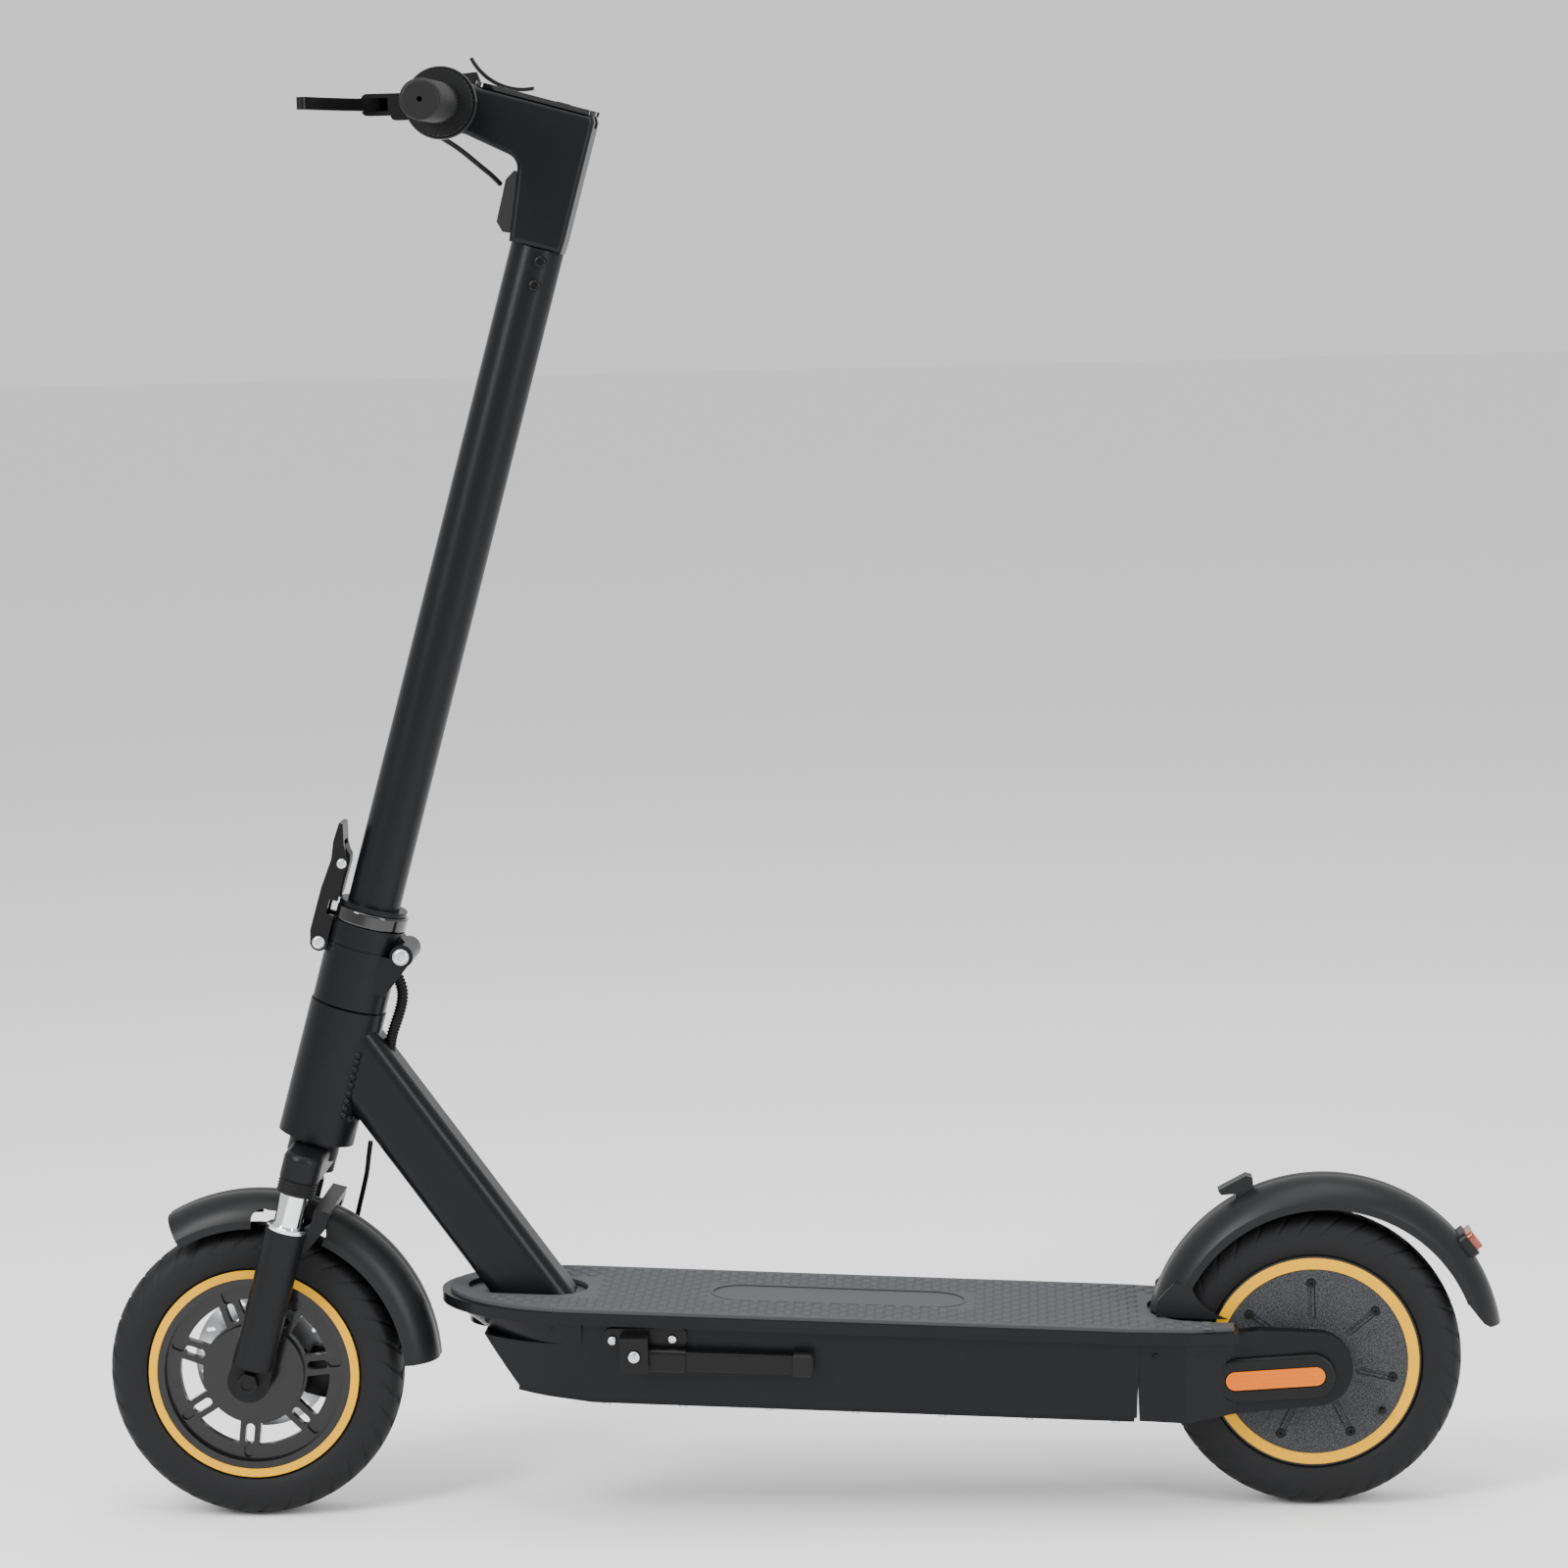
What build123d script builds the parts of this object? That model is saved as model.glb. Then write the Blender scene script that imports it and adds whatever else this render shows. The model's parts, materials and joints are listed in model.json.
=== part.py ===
"""Electric kick scooter, as separate pieces in one shared frame (millimetres).

+X runs towards the rear wheel, +Y to the rider's right and +Z up. The origin is on the ground, under
the middle of the bounding box. Three local frames place the pieces:
  steering frame  n square to the steering axis and rearward, t up along it, from the front axle
  deck frame      u rearward along the sloping deck, w square to it, from the top of the mat
  wheel frames    a revolved section with y across the wheel and r out from its axle
"""
from build123d import *
from math import cos, radians, sin
import os

# ---------------------------------------------------------------- driving dimensions
FRONT_X = -472.0          # front axle
REAR_X = 440.0            # rear axle
TYRE_R = 127.5            # 10 inch pneumatic tyre
TYRE_HALF = 29.3
RIM_FLANGE_R = 91.5
RIM_HALF = 25.0
RAKE = 15.96              # steering axis from the vertical
HEAD_R = 33.0             # head tube
HEAD_T = (212.5, 331.0)   # its two ends along the steering axis
STEM_R = 22.7
STEM_T = (421.5, 999.0)
BAR_N, BAR_T = -95.6, 1096.4
BAR_R = 11.0
BAR_HALF = 236.0          # to the outside of a grip
GRIP_R = 16.5
LEG_Y = 54.0              # fork legs either side of the wheel
LEG_R = 17.5
STANCHION_R = 12.4
HINGE_N, HINGE_T = 36.0, 388.0
LEVER_N, LEVER_T = -36.5, 380.0
CATCH_N, CATCH_T = -33.7, 450.7
FOLD_SPLIT_T = 384.4
DECK_Z = 185.5            # top of the mat above the origin
DECK_TILT = 2.8           # falls towards the rear
MAT_THICK = 3.0
MAT_HALF = 81.5
NOSE_U, NOSE_A = -191.0, 110.0
LIP = 7.0                 # the rim stands out this far past the mat
DECK_FLOOR = -77.4
DOWN_TUBE_DEPTH, DOWN_TUBE_WIDTH = 58.0, 50.0
FENDER_WALL = 3.0
RUNNING = 0.05            # radial clearance of a shaft in its bore
GAP = 0.4                 # between pieces that move past each other

os.makedirs("parts", exist_ok=True)


# ---------------------------------------------------------------- frames
def unit(angle):
    """A direction in the XZ plane, tipped from +Z towards +X by an angle in degrees."""
    return Vector(sin(radians(angle)), 0, cos(radians(angle)))


S = unit(RAKE)
N = unit(RAKE + 90)
FRONT = Vector(FRONT_X, 0, TYRE_R)
REAR = Vector(REAR_X, 0, TYRE_R)
DECK_UP = unit(DECK_TILT)
DECK_ALONG = unit(DECK_TILT + 90)
ACROSS = Vector(0, 1, 0)


def steer_point(n, t, y=0.0):
    return FRONT + N * n + S * t + ACROSS * y


def steer_plane(t, n=0.0, y=0.0):
    """Square to the steering axis: local x is n and local y is +Y."""
    return Plane(origin=steer_point(n, t, y), x_dir=N, z_dir=S)


def steer_side(y=0.0):
    """The steering frame seen from the left: local x is n, local y is t, and it faces -Y."""
    return Plane(origin=steer_point(0, 0, y), x_dir=N, z_dir=(0, -1, 0))


def deck_plane(w):
    return Plane(origin=Vector(0, 0, DECK_Z) + DECK_UP * w, x_dir=DECK_ALONG, z_dir=DECK_UP)


def deck_side(y=0.0):
    return Plane(origin=(0, y, DECK_Z), x_dir=DECK_ALONG, z_dir=(0, -1, 0))


def wheel_section(axle):
    """Local x is +Y across the wheel, and local y is the radius."""
    return Plane(origin=axle, x_dir=(0, 1, 0), z_dir=(1, 0, 0))


def wheel_face(axle, y):
    """Faces -Y at a place across the wheel, with X to the right and Z up."""
    return Plane(origin=axle + ACROSS * y, x_dir=(1, 0, 0), z_dir=(0, -1, 0))


def across_axis(point):
    return Axis(point, (0, 1, 0))


def save(builder, name):
    builder.part.label = name
    export_step(builder.part, f"parts/{name}.step")


# ================================================================ wheels
def tyre(axle):
    """A hollow pneumatic tyre with square, round-shouldered tread."""
    with BuildPart() as piece:
        with BuildSketch(wheel_section(axle)):
            with BuildLine():
                left = [(-22.4, 86.0), (-22.4, 92.6), (-25.4, 93.6)]
                Polyline(*left)
                ThreePointArc((-25.4, 93.6), (-TYRE_HALF, 106), (-27.0, 117.5))
                ThreePointArc((-27.0, 117.5), (-21.5, 122.9), (-13.5, 126.0))
                ThreePointArc((-13.5, 126.0), (0, TYRE_R), (13.5, 126.0))
                ThreePointArc((13.5, 126.0), (21.5, 122.9), (27.0, 117.5))
                ThreePointArc((27.0, 117.5), (TYRE_HALF, 106), (25.4, 93.6))
                Polyline((25.4, 93.6), (22.4, 92.6), (22.4, 86.0), (-22.4, 86.0))
            make_face()
            with BuildLine():
                Line((-17.5, 86.0), (-17.5, 95.0))
                ThreePointArc((-17.5, 95.0), (-24.3, 106), (-20.5, 116.5))
                ThreePointArc((-20.5, 116.5), (0, 121.5), (20.5, 116.5))
                ThreePointArc((20.5, 116.5), (24.3, 106), (17.5, 95.0))
                Polyline((17.5, 95.0), (17.5, 86.0), (-17.5, 86.0))
            make_face(mode=Mode.SUBTRACT)
        revolve(axis=across_axis(axle))
    return piece


def rim_section(axle, inner_r):
    """The section of a rim's barrel with its two bead flanges."""
    with BuildSketch(wheel_section(axle)) as section:
        with BuildLine():
            Polyline(
                (-RIM_HALF, inner_r), (-RIM_HALF, RIM_FLANGE_R), (-22.6, RIM_FLANGE_R), (-22.6, 85.9),
                (22.6, 85.9), (22.6, RIM_FLANGE_R), (RIM_HALF, RIM_FLANGE_R), (RIM_HALF, inner_r),
                close=True,
            )
        make_face()
    return section.sketch


for tyre_name, axle_point in (("front_tyre", FRONT), ("rear_tyre", REAR)):
    save(tyre(axle_point), tyre_name)

SPOKES = 7
SPOKE_TURN = 6.0
HUB_R = 43.0
WEB_Y = (-19.0, -11.0)
AXLE_R = 6.0
BEARING_R, BEARING_W = 14.0, 8.0

with BuildPart() as front_rim:
    add(rim_section(FRONT, 78.0))
    revolve(axis=across_axis(FRONT))
    with BuildSketch(wheel_face(FRONT, WEB_Y[1])):
        Circle(78.5)
    extrude(amount=WEB_Y[1] - WEB_Y[0])
    with BuildSketch(wheel_face(FRONT, WEB_Y[0])):
        Circle(65)
        Circle(45.5, mode=Mode.SUBTRACT)
        with PolarLocations(0, SPOKES, start_angle=SPOKE_TURN):
            with Locations((40, 0)):
                Rectangle(80, 18, mode=Mode.SUBTRACT)
        with PolarLocations(0, SPOKES, start_angle=SPOKE_TURN):
            with Locations((55, 0)):
                SlotOverall(18, 7.5, mode=Mode.ADD)
    extrude(amount=WEB_Y[0] - WEB_Y[1], mode=Mode.SUBTRACT)
    with BuildSketch(wheel_face(FRONT, WEB_Y[0])):
        with PolarLocations(0, SPOKES, start_angle=SPOKE_TURN):
            with Locations((70, 0)):
                SlotOverall(12, 7.5)
    extrude(amount=-3, mode=Mode.SUBTRACT)
    with BuildSketch(wheel_face(FRONT, -8)):
        Circle(HUB_R)
    extrude(amount=16)
    with BuildSketch(wheel_face(FRONT, 28.8)):
        Circle(24)
    extrude(amount=37)
    with BuildSketch(wheel_face(FRONT, 30)):
        Circle(8)
    extrude(amount=60, mode=Mode.SUBTRACT)
    for bearing_y in (28.8, -24.0 + BEARING_W):
        with BuildSketch(wheel_face(FRONT, bearing_y)):
            Circle(BEARING_R)
        extrude(amount=BEARING_W, mode=Mode.SUBTRACT)
save(front_rim, "front_rim")

with BuildPart() as front_bearings:
    for bearing_y in (28.8, -24.0 + BEARING_W):
        with BuildSketch(wheel_face(FRONT, bearing_y)):
            Circle(BEARING_R)
            Circle(AXLE_R + RUNNING, mode=Mode.SUBTRACT)
        extrude(amount=BEARING_W)
save(front_bearings, "front_bearings")

DISC_R, DISC_Y, DISC_THICK = 60.0, 31.0, 2.0
with BuildPart() as brake_disc:
    with BuildSketch(wheel_face(FRONT, DISC_Y)):
        Circle(DISC_R)
        Circle(15, mode=Mode.SUBTRACT)
        with PolarLocations(33, 6):
            Circle(8.5, mode=Mode.SUBTRACT)
        with PolarLocations(53, 18, start_angle=10):
            SlotOverall(8, 3.4, rotation=35, mode=Mode.SUBTRACT)
    extrude(amount=DISC_THICK)
save(brake_disc, "brake_disc")

# The rear hub holds the motor: a shell with two covers turns about a fixed axle and stator.
MOTOR_AXLE_R = 8.0
COVER_R = 80.0
COVER_Y = (21.0, 26.5)
COVER_SCREWS, COVER_SCREW_R = 7, 68.5
with BuildPart() as motor_shell:
    add(rim_section(REAR, COVER_R + 0.1))
    revolve(axis=across_axis(REAR))
    with BuildSketch(wheel_section(REAR)):
        with Locations((0, 76)):
            Rectangle(2 * COVER_Y[0], 9)
    revolve(axis=across_axis(REAR))
save(motor_shell, "motor_shell")

with BuildPart() as motor_covers:
    for side in (-1, 1):
        with BuildSketch(wheel_section(REAR)):
            with BuildLine():
                Polyline(
                    (side * COVER_Y[0], 17), (side * COVER_Y[0], COVER_R), (side * COVER_Y[1], COVER_R),
                    (side * COVER_Y[1], 30), (side * 36, 22), (side * 36, MOTOR_AXLE_R + 1),
                    (side * 33, MOTOR_AXLE_R + 1), (side * 33, 17), close=True,
                )
            make_face()
        revolve(axis=across_axis(REAR))
        with BuildSketch(Plane(origin=REAR + ACROSS * (side * COVER_Y[1]), x_dir=(1, 0, 0),
                               z_dir=(0, side, 0))):
            with PolarLocations(0, COVER_SCREWS, start_angle=side * -91):
                with Locations((52, 0)):
                    SlotOverall(32, 6.5)
            with PolarLocations(COVER_SCREW_R, COVER_SCREWS, start_angle=side * -91):
                Circle(4.2)
        extrude(amount=-1.2, mode=Mode.SUBTRACT)
save(motor_covers, "motor_covers")

with BuildPart() as motor_cover_screws:
    for side in (-1, 1):
        with BuildSketch(Plane(origin=REAR + ACROSS * (side * (COVER_Y[1] - 1.2)), x_dir=(1, 0, 0),
                               z_dir=(0, side, 0))):
            with PolarLocations(COVER_SCREW_R, COVER_SCREWS, start_angle=side * -91):
                Circle(3.4)
                RegularPolygon(1.6, 6, mode=Mode.SUBTRACT)
        extrude(amount=2.2)
save(motor_cover_screws, "motor_cover_screws")

with BuildPart() as rear_bearings:
    for side in (-1, 1):
        with BuildSketch(Plane(origin=REAR + ACROSS * (side * 25), x_dir=(1, 0, 0), z_dir=(0, side, 0))):
            Circle(16.95)
            Circle(MOTOR_AXLE_R + RUNNING, mode=Mode.SUBTRACT)
        extrude(amount=7.95)
save(rear_bearings, "rear_bearings")

with BuildPart() as motor_stator:
    with BuildSketch(wheel_face(REAR, 15)):
        Circle(69)
        with PolarLocations(62, 27):
            Rectangle(20, 4.2, mode=Mode.SUBTRACT)
        Circle(MOTOR_AXLE_R, mode=Mode.SUBTRACT)
    extrude(amount=30)
save(motor_stator, "motor_stator")

with BuildPart() as rear_axle:
    with BuildSketch(wheel_face(REAR, 52)):
        Circle(MOTOR_AXLE_R)
    extrude(amount=104)
save(rear_axle, "rear_axle")

# ================================================================ frame
down_normal = unit(54.75)      # square to the down tube, towards the rear and up
down_along = unit(144.75)
DOWN_OFFSET = -75.5            # the tube's axis, measured along its normal from the origin
DOWN_TOP, DOWN_FOOT = -560.0, -288.0


def down_tube_start(along):
    return Plane(origin=down_normal * DOWN_OFFSET + down_along * along, x_dir=down_normal,
                 z_dir=down_along)


with BuildPart() as head_blank:
    with BuildSketch(steer_plane(HEAD_T[0])):
        Circle(HEAD_R)
    extrude(amount=HEAD_T[1] - HEAD_T[0])

with BuildPart() as down_blank:
    with BuildSketch(down_tube_start(DOWN_TOP)):
        RectangleRounded(DOWN_TUBE_DEPTH, DOWN_TUBE_WIDTH, 13)
    extrude(amount=DOWN_FOOT + 60 - DOWN_TOP)
    split(bisect_by=deck_plane(-MAT_THICK), keep=Keep.TOP)

BEARING_SEAT_R, STEERER_R = 21.0, 17.0
with BuildPart() as head_tube:
    add(head_blank.part)
    with BuildSketch(steer_plane(HEAD_T[0])):
        Circle(STEERER_R + 2)
    extrude(amount=HEAD_T[1] - HEAD_T[0], mode=Mode.SUBTRACT)
    with BuildSketch(steer_plane(HEAD_T[0])):
        Circle(BEARING_SEAT_R)
    extrude(amount=11, mode=Mode.SUBTRACT)
    with BuildSketch(steer_plane(HEAD_T[1])):
        Circle(BEARING_SEAT_R)
    extrude(amount=-11, mode=Mode.SUBTRACT)
save(head_tube, "head_tube")

with BuildPart() as headset_bearings:
    for low in (HEAD_T[0] + 0.5, HEAD_T[1] - 10.5):
        with BuildSketch(steer_plane(low)):
            Circle(BEARING_SEAT_R)
            Circle(STEERER_R + RUNNING, mode=Mode.SUBTRACT)
        extrude(amount=10)
save(headset_bearings, "headset_bearings")

with BuildPart() as down_tube:
    add(down_blank.part)
    add(head_blank.part, mode=Mode.SUBTRACT)
    with BuildSketch(down_tube_start(DOWN_TOP + 60)):
        RectangleRounded(DOWN_TUBE_DEPTH - 7, DOWN_TUBE_WIDTH - 7, 9.5)
    extrude(amount=230, mode=Mode.SUBTRACT)
save(down_tube, "down_tube")


def deck_outline(w, half, grow, rear_u):
    """The deck's plan: a half-elliptical nose and straight sides that pull in towards the rear."""
    with BuildSketch(deck_plane(w)) as outline:
        with BuildLine():
            nose = EllipticalCenterArc((NOSE_U, 0), NOSE_A + grow, half, start_angle=90, arc_size=180)
            Polyline(nose @ 1, (285, -half), (335, -half + 5), (rear_u, -half + 17),
                     (rear_u, half - 17), (335, half - 5), (285, half), nose @ 0)
        make_face()
    return outline.sketch


SEAM_U = -180.0
REAR_SEAM_U = 292.0
FOOT_U = (-284.0, -184.0)      # where the down tube stands on the deck
FOOT_HALF = 31.0


FOOT_MID_U = (FOOT_U[0] + FOOT_U[1]) / 2
FOOT_LONG = FOOT_U[1] - FOOT_U[0]

FENDER_CENTRE = Vector(450, 0, 133)
FENDER_R, FENDER_SKIRT_R, FENDER_HALF = 152.0, 128.5, 37.0
FENDER_FOOT_U = 300.0
PANEL_U, PANEL_LONG, PANEL_WIDE, PANEL_DEPTH = 34.5, 218.0, 58.0, 0.6
with BuildPart() as deck_mat:
    add(deck_outline(-MAT_THICK, MAT_HALF, 0, 372))
    extrude(amount=MAT_THICK)
    with BuildSketch(deck_plane(-MAT_THICK)):
        with Locations((FOOT_MID_U, 0)):
            SlotOverall(FOOT_LONG + 4, 2 * FOOT_HALF + 4)
        with Locations((FENDER_FOOT_U + 150, 0)):
            RectangleRounded(300, 94, 40)
    extrude(amount=MAT_THICK, mode=Mode.SUBTRACT)
    with BuildSketch(deck_plane(-PANEL_DEPTH)):
        with Locations((PANEL_U, 0)):
            SlotOverall(PANEL_LONG, PANEL_WIDE)
    extrude(amount=PANEL_DEPTH, mode=Mode.SUBTRACT)
save(deck_mat, "deck_mat")

SIDE_HALF = 80.0
with BuildPart() as deck_frame:
    add(deck_outline(DECK_FLOOR, SIDE_HALF, -14, 400))
    extrude(amount=-DECK_FLOOR - MAT_THICK)
    with BuildSketch(deck_side()):
        with BuildLine():
            Polyline((-330, 0), (-330, -31), (-266, -31), (-233, -70.5), (-169, DECK_FLOOR),
                     (-169, -120), (-360, -120), (-360, 0), close=True)
        make_face()
        with Locations((REAR_SEAM_U + 100, -60)):
            Rectangle(200, 200)
    extrude(amount=120, both=True, mode=Mode.SUBTRACT)
    # the front drops below the nose shroud, except for the pad that carries the down tube
    with BuildSketch(deck_plane(-31)):
        with Locations((SEAM_U - 100, 0)):
            Rectangle(200, 200)
        with Locations((FOOT_MID_U, 0)):
            SlotOverall(FOOT_LONG, 2 * FOOT_HALF, mode=Mode.SUBTRACT)
    extrude(amount=40, mode=Mode.SUBTRACT)
    # the edge that the mat's rim sits on
    with BuildSketch(deck_plane(-12)):
        with Locations(((SEAM_U + REAR_SEAM_U) / 2, 0)):
            Rectangle(REAR_SEAM_U - SEAM_U, 2 * (MAT_HALF + LIP))
    extrude(amount=12 - MAT_THICK)
    # the battery bay, open underneath
    with BuildSketch(deck_plane(DECK_FLOOR - 5)):
        with Locations((60, 0)):
            RectangleRounded(460, 2 * SIDE_HALF - 9, 10)
    extrude(amount=-DECK_FLOOR + 5 - 9, mode=Mode.SUBTRACT)
save(deck_frame, "deck_frame")

with BuildPart() as nose_shroud:
    add(deck_outline(-12, MAT_HALF + LIP, LIP, 372))
    extrude(amount=12 - MAT_THICK)
    with BuildSketch(deck_plane(-12)):
        with BuildLine():
            upper = EllipticalCenterArc((NOSE_U, 0), NOSE_A, MAT_HALF + 4, start_angle=90, arc_size=180)
            Polyline(upper @ 1, (SEAM_U + 20, -MAT_HALF - 4), (SEAM_U + 20, MAT_HALF + 4), upper @ 0)
        make_face()
    with BuildSketch(deck_plane(-31)):
        with BuildLine():
            lower = EllipticalCenterArc((NOSE_U, 0), NOSE_A - 30, SIDE_HALF, start_angle=90, arc_size=180)
            Polyline(lower @ 1, (SEAM_U + 20, -SIDE_HALF), (SEAM_U + 20, SIDE_HALF), lower @ 0)
        make_face()
    loft()
    with BuildSketch(deck_plane(-60)):
        with Locations((SEAM_U + 400, 0)):
            Rectangle(800, 400)
    extrude(amount=80, mode=Mode.SUBTRACT)
    # hollow underneath, and open round the foot of the down tube
    with BuildSketch(deck_plane(-7)):
        with BuildLine():
            inside = EllipticalCenterArc((NOSE_U, 0), NOSE_A - 36, SIDE_HALF - 5,
                                         start_angle=90, arc_size=180)
            Polyline(inside @ 1, (SEAM_U + 5, -SIDE_HALF + 5), (SEAM_U + 5, SIDE_HALF - 5), inside @ 0)
        make_face()
    extrude(amount=-40, mode=Mode.SUBTRACT)
    with BuildSketch(deck_plane(-40)):
        with Locations((FOOT_MID_U, 0)):
            SlotOverall(FOOT_LONG + 0.4, 2 * FOOT_HALF + 0.4)
    extrude(amount=60, mode=Mode.SUBTRACT)
save(nose_shroud, "nose_shroud")

# ---------------------------------------------------------------- rear arms and rear shroud
ARM_HALF = (40.0, 52.0)
ARM_END_R = 32.0
with BuildPart() as rear_arms:
    with BuildSketch(Plane.XY.offset(80)):
        with BuildLine():
            Polyline((280, 39), (280, SIDE_HALF - 1), (330, SIDE_HALF - 7), (372, ARM_HALF[1] + 2),
                     (480, ARM_HALF[1]), (480, ARM_HALF[0]), (330, ARM_HALF[0] - 1), close=True)
        make_face()
        mirror(about=Plane.XZ)
    extrude(amount=100)
    with BuildSketch(Plane.XZ):
        with BuildLine():
            Polyline((290, 91), (330, 87), (REAR_X, TYRE_R - ARM_END_R), (REAR_X, TYRE_R + ARM_END_R),
                     (392, 162.0), (330, 155), (290, 157), close=True)
        make_face()
        with Locations((REAR_X, TYRE_R)):
            Circle(ARM_END_R)
    extrude(amount=100, both=True, mode=Mode.INTERSECT)
    split(bisect_by=Plane(origin=Vector(0, 0, DECK_Z) + DECK_ALONG * REAR_SEAM_U, x_dir=(0, 1, 0),
                          z_dir=DECK_ALONG), keep=Keep.TOP)
    add(rear_axle.part, mode=Mode.SUBTRACT)
save(rear_arms, "rear_arms")

with BuildPart() as rear_shroud:
    add(deck_outline(-12, MAT_HALF + LIP, LIP, 376))
    extrude(amount=12 - MAT_THICK)
    with BuildSketch(deck_plane(-60)):
        with Locations((REAR_SEAM_U - 500, 0)):
            Rectangle(1000, 400)
        with Locations((FENDER_FOOT_U + 160, 0)):
            RectangleRounded(300, 80, 10)
    extrude(amount=80, mode=Mode.SUBTRACT)
    add(rear_arms.part, mode=Mode.SUBTRACT)
save(rear_shroud, "rear_shroud")

# ---------------------------------------------------------------- underside, battery and controller
with BuildPart() as bottom_cover:
    with BuildSketch(deck_side()):
        with BuildLine():
            Polyline((-233.5, -70.7), (-169, DECK_FLOOR - 0.2), (290, DECK_FLOOR - 0.2),
                     (290, DECK_FLOOR - 4.2), (-169.5, DECK_FLOOR - 4.2), (-234, -74.7), close=True)
        make_face()
    extrude(amount=76, both=True)
    with BuildSketch(deck_plane(-100)):
        with BuildLine():
            nose = EllipticalCenterArc((NOSE_U, 0), NOSE_A - 17, SIDE_HALF - 3, start_angle=90, arc_size=180)
            Polyline(nose @ 1, (300, -SIDE_HALF + 3), (300, SIDE_HALF - 3), nose @ 0)
        make_face()
    extrude(amount=60, mode=Mode.INTERSECT)
save(bottom_cover, "bottom_cover")

BOTTOM_SCREW_U = [-93 + 73.5 * step for step in range(6)]
with BuildPart() as bottom_screws:
    with BuildSketch(deck_plane(DECK_FLOOR - 4.2)):
        for screw_u in [-158] + BOTTOM_SCREW_U:
            with Locations((screw_u, -71.5), (screw_u, 71.5)):
                Circle(3.4)
    extrude(amount=-2.4)
save(bottom_screws, "bottom_screws")

with BuildPart() as battery_pack:
    with BuildSketch(deck_plane(-74)):
        with Locations((-22, 0)):
            RectangleRounded(286, 128, 8)
    extrude(amount=60)
    chamfer(battery_pack.edges().filter_by(GeomType.LINE).sort_by(Axis.Z)[-4:], 2)
save(battery_pack, "battery_pack")

with BuildPart() as controller:
    with BuildSketch(deck_plane(-62)):
        with Locations((200, 0)):
            RectangleRounded(110, 84, 5)
    extrude(amount=40)
    with BuildSketch(deck_plane(-22)):
        with GridLocations(12, 1, 7, 1):
            with Locations((200, 0)):
                Rectangle(5, 78)
    extrude(amount=-8, mode=Mode.SUBTRACT)
save(controller, "controller")

# ================================================================ fenders
def radial(centre, angle):
    """Holds a fender's section: local x is +Y, and local y runs out from the centre at an angle."""
    a = radians(angle)
    return Plane(origin=centre, x_dir=(0, 1, 0), z_dir=(sin(a), 0, -cos(a)))


def radial_xz(angle, radius):
    """A place in the XZ view, by its angle above +X and its radius."""
    return (radius * cos(radians(angle)), radius * sin(radians(angle)))


def fender_section(centre, angle, crown_r, skirt_r, half):
    """An arch of even wall, open towards the tyre."""
    wall = FENDER_WALL
    shoulder = crown_r - 6
    with BuildSketch(radial(centre, angle)) as section:
        with BuildLine():
            Line((-half, skirt_r), (-half, skirt_r + 7))
            ThreePointArc((-half, skirt_r + 7), (-half * 0.72, shoulder), (0, crown_r))
            ThreePointArc((0, crown_r), (half * 0.72, shoulder), (half, skirt_r + 7))
            Line((half, skirt_r + 7), (half, skirt_r))
            Line((half, skirt_r), (half - wall, skirt_r))
            Line((half - wall, skirt_r), (half - wall, skirt_r + 6))
            ThreePointArc((half - wall, skirt_r + 6), (half * 0.68, shoulder - wall), (0, crown_r - wall))
            ThreePointArc((0, crown_r - wall), (-half * 0.68, shoulder - wall), (wall - half, skirt_r + 6))
            Line((wall - half, skirt_r + 6), (wall - half, skirt_r))
            Line((wall - half, skirt_r), (-half, skirt_r))
        make_face()
    return section.sketch


LAMP_ANGLE = 36.5


def lamp_plane(radius):
    """Faces out of the rear fender at the tail lamp."""
    out = unit(90 - LAMP_ANGLE)
    return Plane(origin=FENDER_CENTRE + out * radius, x_dir=(0, 1, 0), z_dir=out)


with BuildPart() as rear_fender:
    add(fender_section(FENDER_CENTRE, 169, FENDER_R, FENDER_SKIRT_R, FENDER_HALF))
    revolve(axis=across_axis(FENDER_CENTRE), revolution_arc=163)
    # side cheeks spread onto the deck
    with BuildSketch(Plane.XZ.offset(FENDER_HALF - FENDER_WALL)):
        with BuildLine():
            Polyline((304, 150), (308, 185), (322, 200), (337, 196))
            Spline((337, 196), (349, 178), (368, 167.5), (394, 163.5), tangents=((0.3, -1), (1, -0.05)))
            Polyline((394, 163.5), (394, 150), (304, 150))
        make_face()
    cheek = extrude(amount=FENDER_WALL)
    mirror(cheek, about=Plane.XZ)
    with BuildSketch(Plane.XZ):
        with BuildLine():
            Polyline((540, 100), (571, 178), (584, 161), (601, 149), (640, 149), (640, 90), (540, 90),
                     close=True)
        make_face()
    extrude(amount=60, both=True, mode=Mode.SUBTRACT)
    split(bisect_by=deck_plane(0.2), keep=Keep.TOP)
    # the lamp's housing, moulded in
    with BuildSketch(lamp_plane(147)):
        RectangleRounded(40, 23, 7)
    extrude(amount=10)
    for solid in (rear_arms, rear_shroud):
        add(solid.part, mode=Mode.SUBTRACT)
save(rear_fender, "rear_fender")

with BuildPart() as fold_hook:
    with BuildSketch(Plane.XZ):
        with BuildLine():
            Polyline((376.5, 255), (376.5, 270.2), (364, 269.6), (361.5, 273.4), (385.5, 286),
                     (391, 284.2), (393, 262), close=True)
        make_face()
    extrude(amount=8.5, both=True)
    with BuildSketch(Plane.XZ):
        with Locations((FENDER_CENTRE.X, FENDER_CENTRE.Z)):
            Circle(FENDER_R - 1)
    extrude(amount=30, both=True, mode=Mode.SUBTRACT)
    add(rear_fender.part, mode=Mode.SUBTRACT)
save(fold_hook, "fold_hook")

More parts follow.
